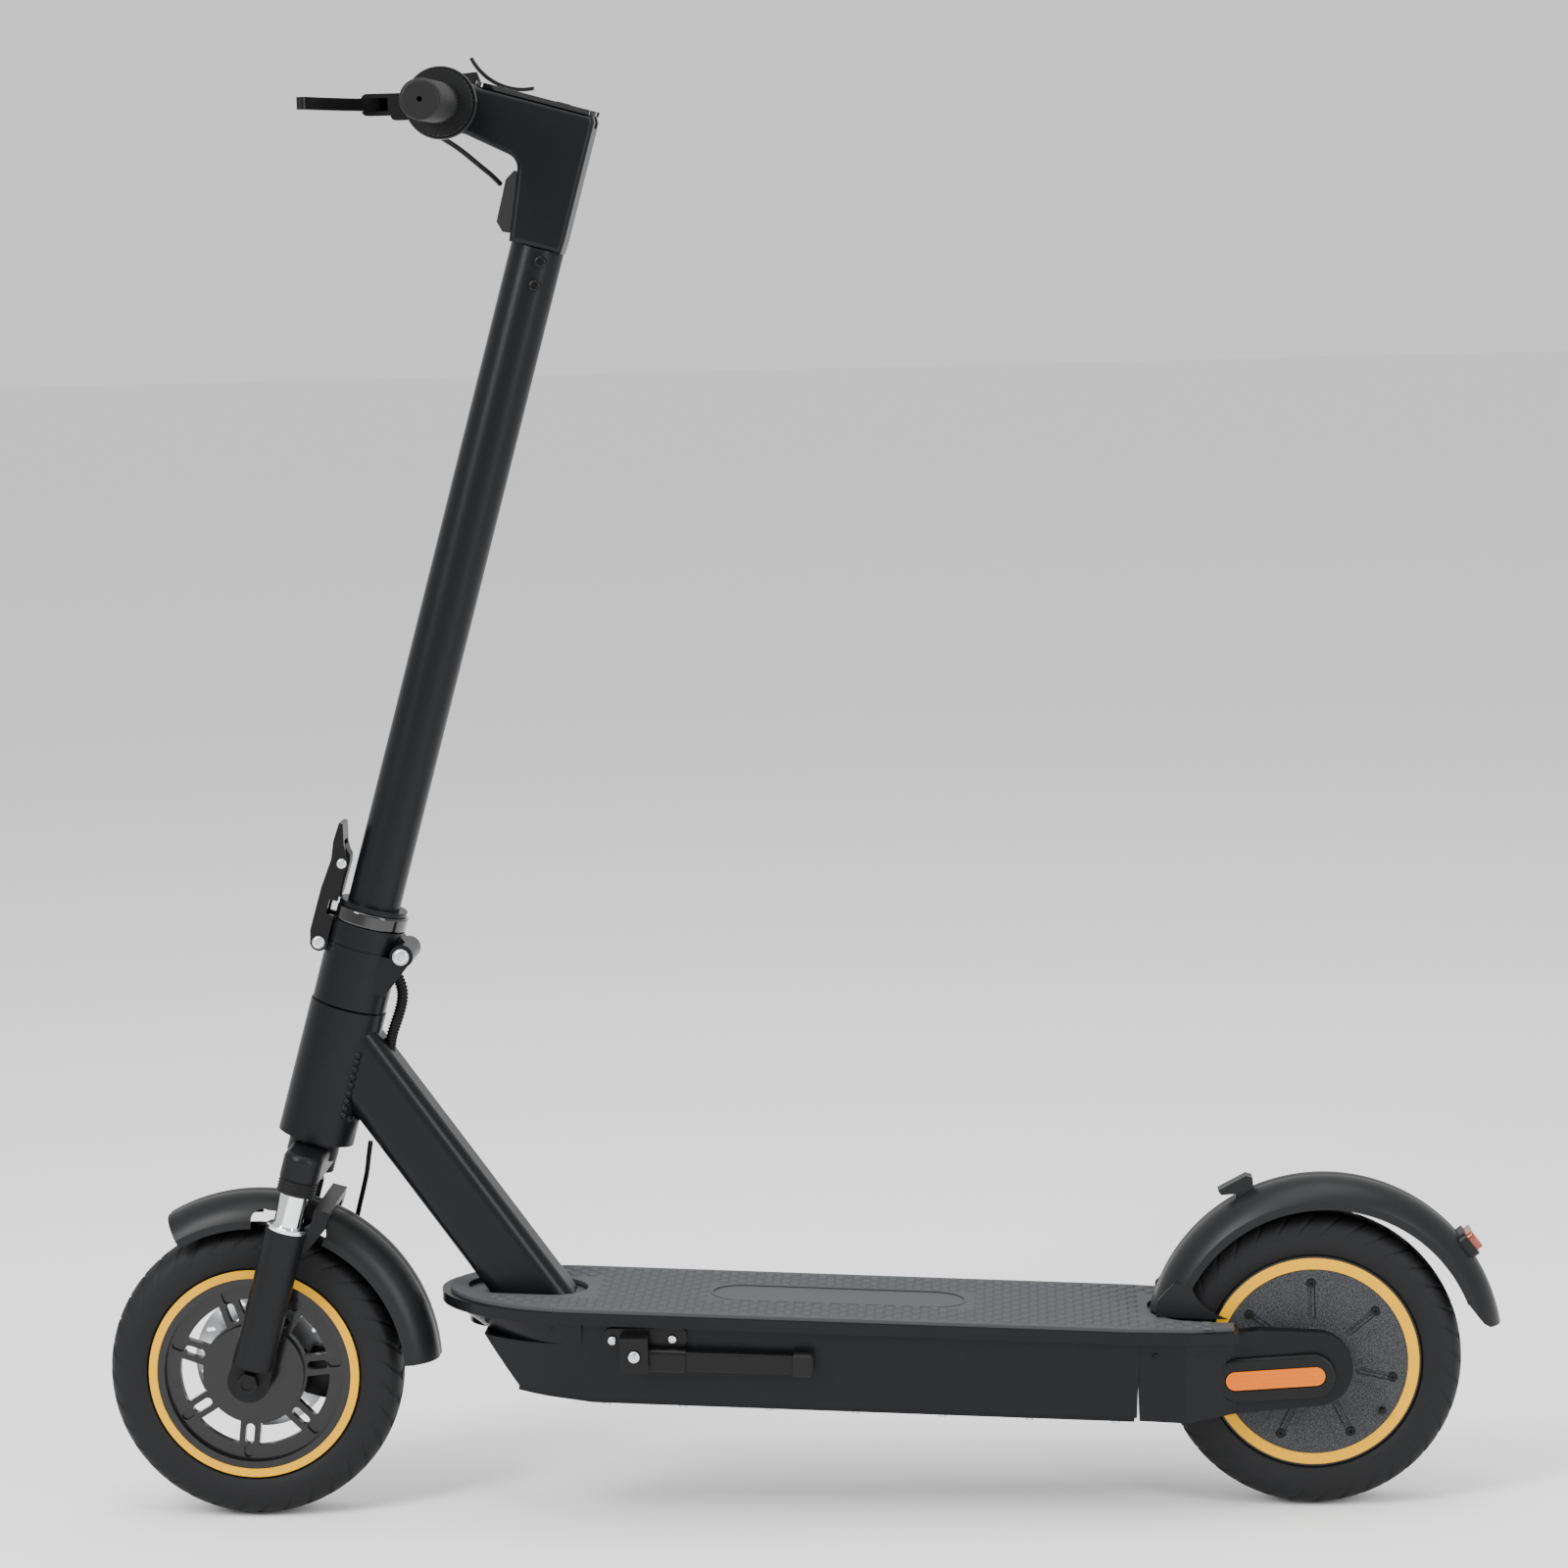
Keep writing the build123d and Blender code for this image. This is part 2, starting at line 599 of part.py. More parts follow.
with BuildPart() as tail_light_lens:
    with BuildSketch(lamp_plane(157)):
        RectangleRounded(34, 17, 5)
    extrude(amount=6)
    fillet(tail_light_lens.faces().sort_by(Axis(FENDER_CENTRE, unit(90 - LAMP_ANGLE)))[-1].edges(), 1.5)
save(tail_light_lens, "tail_light_lens")

# ---------------------------------------------------------------- reflectors over the axle ends
COVER_TILT = 3.0
cover_face = Plane(origin=(406, -ARM_HALF[1], 121), x_dir=unit(90 - COVER_TILT), z_dir=(0, -1, 0))
with BuildPart() as reflector_bezels:
    with BuildSketch(cover_face):
        SlotOverall(102, 38)
    extrude(amount=7)
    fillet(reflector_bezels.faces().sort_by(Axis.Y)[0].edges(), 3)
    with BuildSketch(cover_face.offset(7)):
        SlotOverall(86, 18)
    extrude(amount=-2, mode=Mode.SUBTRACT)
    add(rear_arms.part, mode=Mode.SUBTRACT)
    mirror(about=Plane.XZ)
save(reflector_bezels, "reflector_bezels")

with BuildPart() as reflectors:
    with BuildSketch(cover_face.offset(5)):
        SlotOverall(84, 16)
    extrude(amount=1.6)
    mirror(about=Plane.XZ)
    add(rear_arms.part, mode=Mode.SUBTRACT)
save(reflectors, "reflectors")

# ================================================================ kickstand
STAND_PIVOT = Vector(-134.9, 0, 157.9)
STAND_PIN_R = 4.0
with BuildPart() as kickstand_bracket:
    with BuildSketch(Plane.XZ.offset(SIDE_HALF)):
        with Locations((-126.5, 169.5)):
            RectangleRounded(70, 17, 6)
    extrude(amount=4)
    with BuildSketch(Plane.XZ.offset(SIDE_HALF + 4)):
        with Locations((-135, 171.5)):
            Rectangle(24, 4)
    extrude(amount=18)
    with BuildSketch(Plane.XZ.offset(SIDE_HALF + 19)):
        with Locations((-135, 158.5)):
            RectangleRounded(24, 30, 2.5)
    extrude(amount=3)
    with BuildSketch(Plane.XZ.offset(SIDE_HALF)):
        with Locations((STAND_PIVOT.X, STAND_PIVOT.Z)):
            Circle(STAND_PIN_R)
    extrude(amount=22)
    with BuildSketch(Plane.XZ.offset(SIDE_HALF)):
        with Locations((STAND_PIVOT.X, STAND_PIVOT.Z)):
            Circle(11)
    extrude(amount=4)
    with BuildSketch(Plane.XZ.offset(SIDE_HALF + 22)):
        with Locations((STAND_PIVOT.X, STAND_PIVOT.Z)):
            Circle(5.3)
    extrude(amount=1.6)
    with BuildSketch(Plane.XZ.offset(SIDE_HALF + 4)):
        with Locations((-159.5 + 5, 168.2), (-103.5, 168.2)):
            Circle(4)
    extrude(amount=2)
save(kickstand_bracket, "kickstand_bracket")

with BuildPart() as kickstand_leg:
    with BuildSketch(Plane.XZ.offset(SIDE_HALF + 6.2)):
        with Locations((STAND_PIVOT.X, STAND_PIVOT.Z)):
            Circle(10)
        with Locations(((STAND_PIVOT.X - 120) / 2, 155)):
            Rectangle(-120 - STAND_PIVOT.X, 14)
    extrude(amount=10)
    with BuildSketch(Plane(origin=(-122, -SIDE_HALF - 11.2, 152.4), x_dir=(0, 1, 0), z_dir=(1, 0, -0.045))):
        RectangleRounded(12, 20, 4)
    extrude(amount=30)
    with BuildSketch(Plane(origin=(-93, -SIDE_HALF - 11.2, 151), x_dir=(0, 1, 0), z_dir=(1, 0, -0.045))):
        RectangleRounded(8, 16.5, 1.5)
    extrude(amount=97)
    with BuildSketch(Plane.XZ.offset(SIDE_HALF)):
        with Locations((STAND_PIVOT.X, STAND_PIVOT.Z)):
            Circle(STAND_PIN_R + RUNNING)
    extrude(amount=30, mode=Mode.SUBTRACT)
save(kickstand_leg, "kickstand_leg")

with BuildPart() as kickstand_foot:
    with BuildSketch(Plane(origin=(-1, -SIDE_HALF - 11.2, 146.8), x_dir=(0, 1, 0), z_dir=(1, 0, -0.045))):
        RectangleRounded(13, 20, 4)
    extrude(amount=17)
    chamfer(kickstand_foot.faces().sort_by(Axis.X)[-1].edges(), 2)
    add(kickstand_leg.part, mode=Mode.SUBTRACT)
save(kickstand_foot, "kickstand_foot")

# ================================================================ fork, steered parts
with BuildPart() as fork_stanchions:
    with BuildSketch(steer_plane(60)):
        with Locations((0, LEG_Y), (0, -LEG_Y)):
            Circle(STANCHION_R)
            Circle(9.5, mode=Mode.SUBTRACT)
    extrude(amount=146)
save(fork_stanchions, "fork_stanchions")

with BuildPart() as fork_crown:
    with BuildSketch(steer_plane(186)):
        SlotOverall(2 * LEG_Y + 36, 34, rotation=90)
    extrude(amount=22)
    fillet(fork_crown.faces().sort_by(Axis(steer_point(0, 0), S))[-1].edges(), 6)
    with BuildSketch(steer_plane(196)):
        Circle(22)
    extrude(amount=15)
    with BuildSketch(steer_plane(205)):
        Circle(STEERER_R)
    extrude(amount=167)
    with BuildSketch(steer_plane(190)):
        Circle(14)
    extrude(amount=182, mode=Mode.SUBTRACT)
    with BuildSketch(steer_plane(186)):
        with Locations((0, LEG_Y), (0, -LEG_Y)):
            Circle(STANCHION_R)
    extrude(amount=20, mode=Mode.SUBTRACT)
save(fork_crown, "fork_crown")

with BuildPart() as fork_boots:
    with BuildSketch(steer_plane(172)):
        with Locations((0, LEG_Y), (0, -LEG_Y)):
            Circle(16)
            Circle(STANCHION_R, mode=Mode.SUBTRACT)
    extrude(amount=14)
save(fork_boots, "fork_boots")

with BuildPart() as hinge_base:
    with BuildSketch(steer_plane(HEAD_T[1] + 1.5)):
        Circle(32)
    extrude(amount=FOLD_SPLIT_T - GAP - HEAD_T[1] - 1.5)
    with BuildSketch(steer_side(26.3)):
        with Locations((HINGE_N, HINGE_T)):
            Circle(10)
        with BuildLine():
            Polyline((15, 350), (30, 350), (46, 388), (30, 384), (15, 383), close=True)
        make_face()
    extrude(amount=52.6)
    with BuildSketch(steer_side(9)):
        with Locations((LEVER_N, LEVER_T)):
            Circle(6.5)
        with BuildLine():
            Polyline((-36.5, 373.6), (-25, 373.6), (-25, 384), (-36.5, 384), close=True)
        make_face()
    extrude(amount=18)
    # room for the lever's side plates
    for side in (15.5, -9.2):
        with BuildSketch(steer_side(side)):
            with Locations((LEVER_N, LEVER_T)):
                Circle(8.2)
        extrude(amount=6.3, mode=Mode.SUBTRACT)
    # room for the stem's middle lug
    with BuildSketch(steer_side(12)):
        with Locations((HINGE_N, HINGE_T)):
            Circle(10.5)
        with BuildLine():
            Polyline((HINGE_N, HINGE_T - 10.5), (HINGE_N + 14, HINGE_T - 10.5), (HINGE_N + 14, 402),
                     (12, 402), (12, 384), (HINGE_N - 8, 380), close=True)
        make_face()
    extrude(amount=24, mode=Mode.SUBTRACT)
    with BuildSketch(steer_side(30)):
        with Locations((HINGE_N, HINGE_T)):
            Circle(5)
    extrude(amount=60, mode=Mode.SUBTRACT)
    with BuildSketch(steer_side(30)):
        with Locations((LEVER_N, LEVER_T)):
            Circle(3)
    extrude(amount=60, mode=Mode.SUBTRACT)
    with BuildSketch(steer_plane(HEAD_T[1])):
        Circle(STEERER_R)
    extrude(amount=372.5 - HEAD_T[1], mode=Mode.SUBTRACT)
save(hinge_base, "hinge_base")

with BuildPart() as hinge_pins:
    with BuildSketch(steer_side(30.5)):
        with Locations((HINGE_N, HINGE_T)):
            Circle(5)
        with Locations((LEVER_N, LEVER_T)):
            Circle(3)
    extrude(amount=61)
    for side in (30.5, -26.3):
        with BuildSketch(steer_side(side)):
            with Locations((HINGE_N, HINGE_T)):
                Circle(7)
        extrude(amount=4.2)
    with BuildSketch(steer_side(30.5)):
        with Locations((LEVER_N, LEVER_T)):
            Circle(8)
    extrude(amount=12, mode=Mode.SUBTRACT)
    with BuildSketch(steer_side(-18.5)):
        with Locations((LEVER_N, LEVER_T)):
            Circle(8)
    extrude(amount=12, mode=Mode.SUBTRACT)
    for side in (18.5, -15.3):
        with BuildSketch(steer_side(side)):
            with Locations((LEVER_N, LEVER_T)):
                Circle(5.5)
        extrude(amount=3.2)
save(hinge_pins, "hinge_pins")

# ================================================================ fork, sliding parts
FENDER_FRONT = Vector(-468, 0, 128.5)
FRONT_FENDER_R, FRONT_SKIRT_R, FRONT_FENDER_HALF = 155.5, 129.0, 35.6
with BuildPart() as fork_legs:
    with BuildSketch(steer_plane(15)):
        with Locations((0, LEG_Y), (0, -LEG_Y)):
            Circle(LEG_R)
    extrude(amount=123)
    for side in (52, -40):
        with BuildSketch(steer_side(side)):
            Circle(18.5)
            with Locations((0, 14)):
                Rectangle(35, 28)
        extrude(amount=12)
    # the bridge over the fender, behind the crown
    with BuildSketch(steer_side(LEG_Y)):
        with BuildLine():
            Polyline((6, 116), (6, 134), (19, 147), (19, 162), (32, 162), (32, 147), (24, 130), (15, 116),
                     close=True)
        make_face()
    extrude(amount=2 * LEG_Y)
    with BuildSketch(Plane.XZ):
        with Locations((FENDER_FRONT.X, FENDER_FRONT.Z)):
            Circle(FRONT_FENDER_R)
    extrude(amount=38.5, both=True, mode=Mode.SUBTRACT)
    with BuildSketch(steer_plane(30)):
        with Locations((0, LEG_Y), (0, -LEG_Y)):
            Circle(STANCHION_R + RUNNING)
    extrude(amount=135, mode=Mode.SUBTRACT)
    with BuildSketch(steer_side(80)):
        Circle(AXLE_R)
    extrude(amount=160, mode=Mode.SUBTRACT)
save(fork_legs, "fork_legs")

with BuildPart() as front_fender:
    add(fender_section(FENDER_FRONT, 3, FRONT_FENDER_R, FRONT_SKIRT_R, FRONT_FENDER_HALF))
    revolve(axis=across_axis(FENDER_FRONT), revolution_arc=-116)
    # a recess in each skirt where the fork legs pass
    with BuildSketch(wheel_face(FENDER_FRONT, 60)):
        with BuildLine():
            Line(radial_xz(62, 120), radial_xz(62, 138))
            ThreePointArc(radial_xz(62, 138), radial_xz(64, 144), radial_xz(68, 145))
            ThreePointArc(radial_xz(68, 145), radial_xz(76, 145), radial_xz(84, 145))
            ThreePointArc(radial_xz(84, 145), radial_xz(88, 144), radial_xz(90, 138))
            Polyline(radial_xz(90, 138), radial_xz(90, 120), radial_xz(62, 120))
        make_face()
    extrude(amount=120, mode=Mode.SUBTRACT)
    add(fork_legs.part, mode=Mode.SUBTRACT)
save(front_fender, "front_fender")

with BuildPart() as front_axle:
    with BuildSketch(steer_side(60)):
        Circle(AXLE_R)
    extrude(amount=120)
    for side in (61.5, -52):
        with BuildSketch(steer_side(side)):
            RegularPolygon(9.4, 6)
            Circle(AXLE_R - 0.5, mode=Mode.SUBTRACT)
        extrude(amount=9.5)
save(front_axle, "front_axle")

with BuildPart() as brake_caliper:
    with BuildSketch(steer_side(45)):
        with Locations((52, 4)):
            RectangleRounded(27, 44, 6)
        with Locations((34, 8)):
            Rectangle(30, 16)
    extrude(amount=23)
    with BuildSketch(steer_side(57)):
        with Locations((24, 10)):
            RectangleRounded(26, 30, 5)
    extrude(amount=12)
    with BuildSketch(steer_side(DISC_Y + 0.8)):
        Circle(DISC_R + 1.5)
    extrude(amount=DISC_THICK + 1.6, mode=Mode.SUBTRACT)
    with BuildSketch(steer_side(45)):
        Circle(36)
    extrude(amount=26, mode=Mode.SUBTRACT)
    add(fork_legs.part, mode=Mode.SUBTRACT)
save(brake_caliper, "brake_caliper")

# ================================================================ stem
with BuildPart() as stem_tube:
    with BuildSketch(steer_plane(STEM_T[0])):
        Circle(STEM_R)
        Circle(STEM_R - 3, mode=Mode.SUBTRACT)
    extrude(amount=STEM_T[1] - STEM_T[0])
save(stem_tube, "stem_tube")

with BuildPart() as stem_foot:
    for start, end, radius in ((FOLD_SPLIT_T, 404, 31.5), (404, 417.3, 24), (417.3, STEM_T[0], 29.5)):
        with BuildSketch(steer_plane(start)):
            Circle(radius)
        extrude(amount=end - start)
    # clear of the base's outer lugs
    for side in (26.6, -11.9):
        with BuildSketch(steer_side(side)):
            with Locations((HINGE_N, HINGE_T)):
                Circle(10.4)
            with Locations((HINGE_N + 12, HINGE_T - 3)):
                Rectangle(30, 14)
        extrude(amount=14.7, mode=Mode.SUBTRACT)
    with BuildSketch(steer_side(11.7)):
        with Locations((HINGE_N, HINGE_T)):
            Circle(10)
        with BuildLine():
            Polyline((14, 404), (27, 404), (45, 391), (30, 380), (14, FOLD_SPLIT_T), close=True)
        make_face()
    extrude(amount=23.4)
    with BuildSketch(steer_side(30)):
        with Locations((HINGE_N, HINGE_T)):
            Circle(5 + RUNNING)
    extrude(amount=60, mode=Mode.SUBTRACT)
    # flat where the lever lies, and the cable's way through
    with BuildSketch(steer_side(40)):
        with Locations((-29.1 - 20, 400)):
            Rectangle(40, 60)
    extrude(amount=80, mode=Mode.SUBTRACT)
    with BuildSketch(steer_plane(FOLD_SPLIT_T)):
        Circle(12)
    extrude(amount=50, mode=Mode.SUBTRACT)
save(stem_foot, "stem_foot")

with BuildPart() as clamp_ring:
    with BuildSketch(steer_plane(404.3)):
        Circle(32)
        Circle(24.2, mode=Mode.SUBTRACT)
    extrude(amount=12.6)
    fillet(clamp_ring.edges().filter_by(GeomType.CIRCLE).group_by(SortBy.RADIUS)[-1], 2)
    with BuildSketch(steer_side(40)):
        with Locations((-28.7 - 20, 410)):
            Rectangle(40, 60)
    extrude(amount=80, mode=Mode.SUBTRACT)
save(clamp_ring, "clamp_ring")

NOTCH = (7.0, 22.5)
with BuildPart() as head_casting:
    with BuildSketch(steer_side(24.5)):
        with BuildLine():
            Polyline((22, 999), (22.6, 1010), (22.6, 1112), (20, 1117), (-88, 1117))
            ThreePointArc((-88, 1117), (-116, 1102), (-99, 1077))
            Polyline((-99, 1077), (-79, 1075.5), (-42, 1068.8))
            ThreePointArc((-42, 1068.8), (-34, 1065), (-30.5, 1056))
            Polyline((-30.5, 1056), (-28, 1040), (-24, 1008), (-22.8, 999), (22, 999))
        make_face()
    extrude(amount=49)
    corners = head_casting.edges().filter_by(lambda e: abs(abs(e.center().Y) - 24.5) < 0.01)
    fillet(corners, 5)
    with BuildSketch(steer_plane(960)):
        Circle(STEM_R - 3.1)
    extrude(amount=45)
    for side, way in ((20, -1), (-20, 1)):
        with BuildSketch(steer_side(side)):
            with Locations((BAR_N, BAR_T)):
                Circle(20)
        extrude(amount=way * 28, taper=13)
    with BuildSketch(steer_side(60)):
        with Locations((BAR_N, BAR_T)):
            Circle(BAR_R)
    extrude(amount=120, mode=Mode.SUBTRACT)
    with BuildSketch(steer_side(9.5)):
        with Locations((sum(NOTCH) / 2, 1114)):
            Rectangle(NOTCH[1] - NOTCH[0] + 2, 14)
    extrude(amount=19, mode=Mode.SUBTRACT)
save(head_casting, "head_casting")

with BuildPart() as display:
    with BuildSketch(steer_plane(1117)):
        with Locations((-30, 0)):
            RectangleRounded(104, 47, 9)
        with Locations((sum(NOTCH) / 2 + 1, 0)):
            Rectangle(NOTCH[1] - NOTCH[0] + 4, 19, mode=Mode.SUBTRACT)
        with Locations((-8, 0)):
            Circle(6.35, mode=Mode.SUBTRACT)
    extrude(amount=4)
    add(head_casting.part, mode=Mode.SUBTRACT)
save(display, "display")

with BuildPart() as power_button:
    with BuildSketch(steer_plane(1118.4, n=-8)):
        Circle(6)
    extrude(amount=3)
save(power_button, "power_button")

with BuildPart() as headlight:
    with BuildSketch(steer_side(19)):
        with BuildLine():
            Polyline((-22, 1006), (-30, 1005), (-37, 1012), (-38, 1048), (-33, 1057), (-22, 1057), close=True)
        make_face()
    extrude(amount=38)
    fillet(headlight.edges().filter_by(Axis.Y), 1.2)
    add(head_casting.part, mode=Mode.SUBTRACT)
save(headlight, "headlight")

with BuildPart() as handlebar:
    with BuildSketch(steer_side(228)):
        with Locations((BAR_N, BAR_T)):
            Circle(BAR_R)
            Circle(BAR_R - 2, mode=Mode.SUBTRACT)
    extrude(amount=456)
save(handlebar, "handlebar")


def grip(near, far):
    """A closed rubber grip between two distances from the middle of the bar."""
    with BuildPart() as piece:
        with BuildSketch(steer_side(-near)):
            with Locations((BAR_N, BAR_T)):
                Circle(GRIP_R)
        extrude(amount=far - near)
        fillet(piece.faces().sort_by(Axis.Y)[0].edges(), 3)
        with BuildSketch(steer_side(-near)):
            with Locations((BAR_N, BAR_T)):
                Circle(BAR_R)
        extrude(amount=228 - near, mode=Mode.SUBTRACT)
        with BuildSketch(steer_side(-near)):
            with Locations((BAR_N, BAR_T)):
                Circle(2.2)
        extrude(amount=far - near, mode=Mode.SUBTRACT)
    return piece


with BuildPart() as grips:
    add(grip(118, BAR_HALF).part)
    add(grip(130, BAR_HALF).part.mirror(Plane.XZ))
save(grips, "grips")

# ---------------------------------------------------------------- controls on the bar
BAR = steer_point(BAR_N, BAR_T)
LEVER_PIVOT = Vector(BAR.X - 57, -97, BAR.Z)
LEVER_PIN_R = 3.0
with BuildPart() as lever_perch:
    with BuildSketch(wheel_face(BAR, -84)):
        Circle(16)
        with Locations((-22, -4)):
            RectangleRounded(40, 18, 4)
    extrude(amount=14)
    with BuildSketch(wheel_face(BAR, -98)):
        Circle(29.5)
    extrude(amount=5)
    with BuildSketch(wheel_face(BAR, -98)):
        with Locations((-45, 0)):
            RectangleRounded(42, 18, 5)
    extrude(amount=-14)
    with BuildSketch(wheel_face(BAR, -60)):
        Circle(BAR_R)
    extrude(amount=60, mode=Mode.SUBTRACT)
    # the slot that the brake lever turns in, and its pin
    with BuildSketch(Plane.XY.offset(LEVER_PIVOT.Z - 5.4)):
        with Locations((LEVER_PIVOT.X, LEVER_PIVOT.Y)):
            Circle(13)
    extrude(amount=10.8, mode=Mode.SUBTRACT)
    with BuildSketch(Plane.XY.offset(LEVER_PIVOT.Z - 9)):
        with Locations((LEVER_PIVOT.X, LEVER_PIVOT.Y + 5)):
            Circle(LEVER_PIN_R)
    extrude(amount=18)
save(lever_perch, "lever_perch")

with BuildPart() as bell_ring:
    with BuildSketch(wheel_face(BAR, -103.4)):
        Circle(26.5)
        Circle(BAR_R + 0.35, mode=Mode.SUBTRACT)
    extrude(amount=12.6)
    with BuildSketch(wheel_face(BAR, -103.4)):
        with PolarLocations(26.5, 40):
            Circle(0.8)
    extrude(amount=12.6)
save(bell_ring, "bell_ring")

with BuildPart() as brake_lever:
    with BuildSketch(Plane(origin=LEVER_PIVOT - Vector(0, 0, 5), x_dir=(1, 0, 0), z_dir=(0, 0, 1))):
        with BuildLine():
            Spline((4, -3.5), (-4, -14), (-18, -40), (-30, -75), (-37, -104),
                   tangents=((-0.2, -1), (-0.25, -1)))
            ThreePointArc((-37, -104), (-42, -108), (-46, -103))
            Spline((-46, -103), (-38, -73), (-27, -38), (-14, -8), (-9, 2),
                   tangents=((0.25, 1), (0.3, 1)))
            Polyline((-9, 2), (-4, 5), (4, 3), (4, -3.5))
        make_face()
    extrude(amount=10)
    with BuildSketch(Plane.XY.offset(LEVER_PIVOT.Z - 5)):
        with Locations((LEVER_PIVOT.X, LEVER_PIVOT.Y + 5)):
            Circle(LEVER_PIN_R + 4)
    extrude(amount=10)
    with BuildSketch(Plane.XY.offset(LEVER_PIVOT.Z - 9)):
        with Locations((LEVER_PIVOT.X, LEVER_PIVOT.Y + 5)):
            Circle(LEVER_PIN_R + RUNNING)
    extrude(amount=18, mode=Mode.SUBTRACT)
save(brake_lever, "brake_lever")

with BuildPart() as throttle_body:
    with BuildSketch(wheel_face(BAR, 128)):
        Circle(17)
        Circle(BAR_R, mode=Mode.SUBTRACT)
    extrude(amount=30)
    with BuildSketch(wheel_face(BAR, 110)):
        with BuildLine():
            Polyline((-2, 14), (-7, 30), (6, 31), (14, 10), close=True)
        make_face()
    extrude(amount=8)
save(throttle_body, "throttle_body")

with BuildPart() as throttle_paddle:
    with BuildSketch(Plane.XZ.offset(-124)):
        with BuildLine():
            l1 = ThreePointArc((-261, 1252), (-244, 1233), (-208.7, 1225.5))
            Line(l1 @ 1, (-208.7, 1222.6))
            ThreePointArc((-208.7, 1222.6), (-246, 1230.5), (-263, 1250.5))
            Line((-263, 1250.5), (-261, 1252))
        make_face()
    extrude(amount=11)
save(throttle_paddle, "throttle_paddle")

# ================================================================ fold latch
with BuildPart() as fold_lever:
    with BuildSketch(steer_side(15)):
        with BuildLine():
            Polyline((-44.5, 484), (-41, 484), (-36, 467), (-29.8, 455), (-29.8, 384))
            ThreePointArc((-29.8, 384), (-36.5, 372.2), (-44.3, 380))
            Polyline((-44.3, 380), (-46.4, 388), (-46, 426), (-43.5, 452), (-45.5, 468), (-44.5, 484))
        make_face()
    extrude(amount=30)
    with BuildSketch(steer_side(9.5)):
        with BuildLine():
            Polyline((-43.6, 360), (-43.6, 388), (-42.5, 394), (-42.5, 426), (-40, 452),
                     (-41, 470), (-20, 470), (-20, 360), close=True)
        make_face()
    extrude(amount=19, mode=Mode.SUBTRACT)
    with BuildSketch(steer_side(20)):
        with Locations((-31.5, 411.5)):
            Rectangle(10, 13)
    extrude(amount=40, mode=Mode.SUBTRACT)
    with BuildSketch(steer_side(20)):
        with Locations((LEVER_N, LEVER_T)):
            Circle(3 + RUNNING)
        with Locations((CATCH_N, CATCH_T)):
            Circle(2.6)
    extrude(amount=40, mode=Mode.SUBTRACT)
save(fold_lever, "fold_lever")

with BuildPart() as safety_catch:
    with BuildSketch(steer_side(9)):
        with BuildLine():
            Polyline((-36, 466), (-29, 458.5), (-28, 452), (-28.4, 424), (-36, 424), (-38, 455), close=True)
        make_face()
    extrude(amount=18)
    with BuildSketch(steer_side(15.5)):
        with Locations((CATCH_N, CATCH_T)):
            Circle(2.55)
    extrude(amount=31)
save(safety_catch, "safety_catch")


# ================================================================ cables and small screws
def run_of(points, radius):
    """A round cable through points, with its corners rounded."""
    with BuildLine() as path:
        FilletPolyline(*points, radius=9)
    with BuildSketch(Plane(origin=path.line @ 0, z_dir=path.line % 0)) as section:
        Circle(radius)
    return sweep(section.sketch, path=path.line)


with BuildPart() as wiring_loom:
    loom_points = [steer_point(n, t) for n, t in ((28, 372), (41, 352), (40, 330), (43, 300))]
    add(run_of(loom_points, 4.5))
    for solid in (hinge_base, head_tube, down_tube, headset_bearings):
        add(solid.part, mode=Mode.SUBTRACT)
    add(down_blank.part, mode=Mode.SUBTRACT)
save(wiring_loom, "wiring_loom")

with BuildPart() as brake_cable_lower:
    add(run_of([(-369, 20, 322), (-374, 26, 296), (-382, 36, 268), (-392, 47, 232), (-404, 49, 196),
                (-411, 44, 168), (-416, 38, 150)], 2.2))
    for solid in (down_tube, head_tube, fork_crown, fork_legs, fork_boots, front_fender, brake_caliper):
        add(solid.part, mode=Mode.SUBTRACT)
save(brake_cable_lower, "brake_cable_lower")

with BuildPart() as brake_cable_upper:
    add(run_of([(-296, -88, 1201), (-276, -82, 1188), (-254, -62, 1172), (-238, -40, 1150),
                (-226, -12, 1128)], 2.2))
    for solid in (lever_perch, head_casting, headlight, stem_tube):
        add(solid.part, mode=Mode.SUBTRACT)
save(brake_cable_upper, "brake_cable_upper")

with BuildPart() as stem_screws:
    for n, t in ((7, 989), (7.3, 968.5)):
        with BuildSketch(steer_side(23)):
            with Locations((n, t)):
                Circle(5.3)
        extrude(amount=46)
    with BuildSketch(steer_plane(940)):
        Circle(STEM_R)
    extrude(amount=60, mode=Mode.SUBTRACT)
save(stem_screws, "stem_screws")
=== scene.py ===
"""Looks of the electric kick scooter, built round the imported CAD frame. Metres."""
import json
from math import cos, pi, radians, sin, sqrt

import bpy
from mathutils import Matrix, Vector

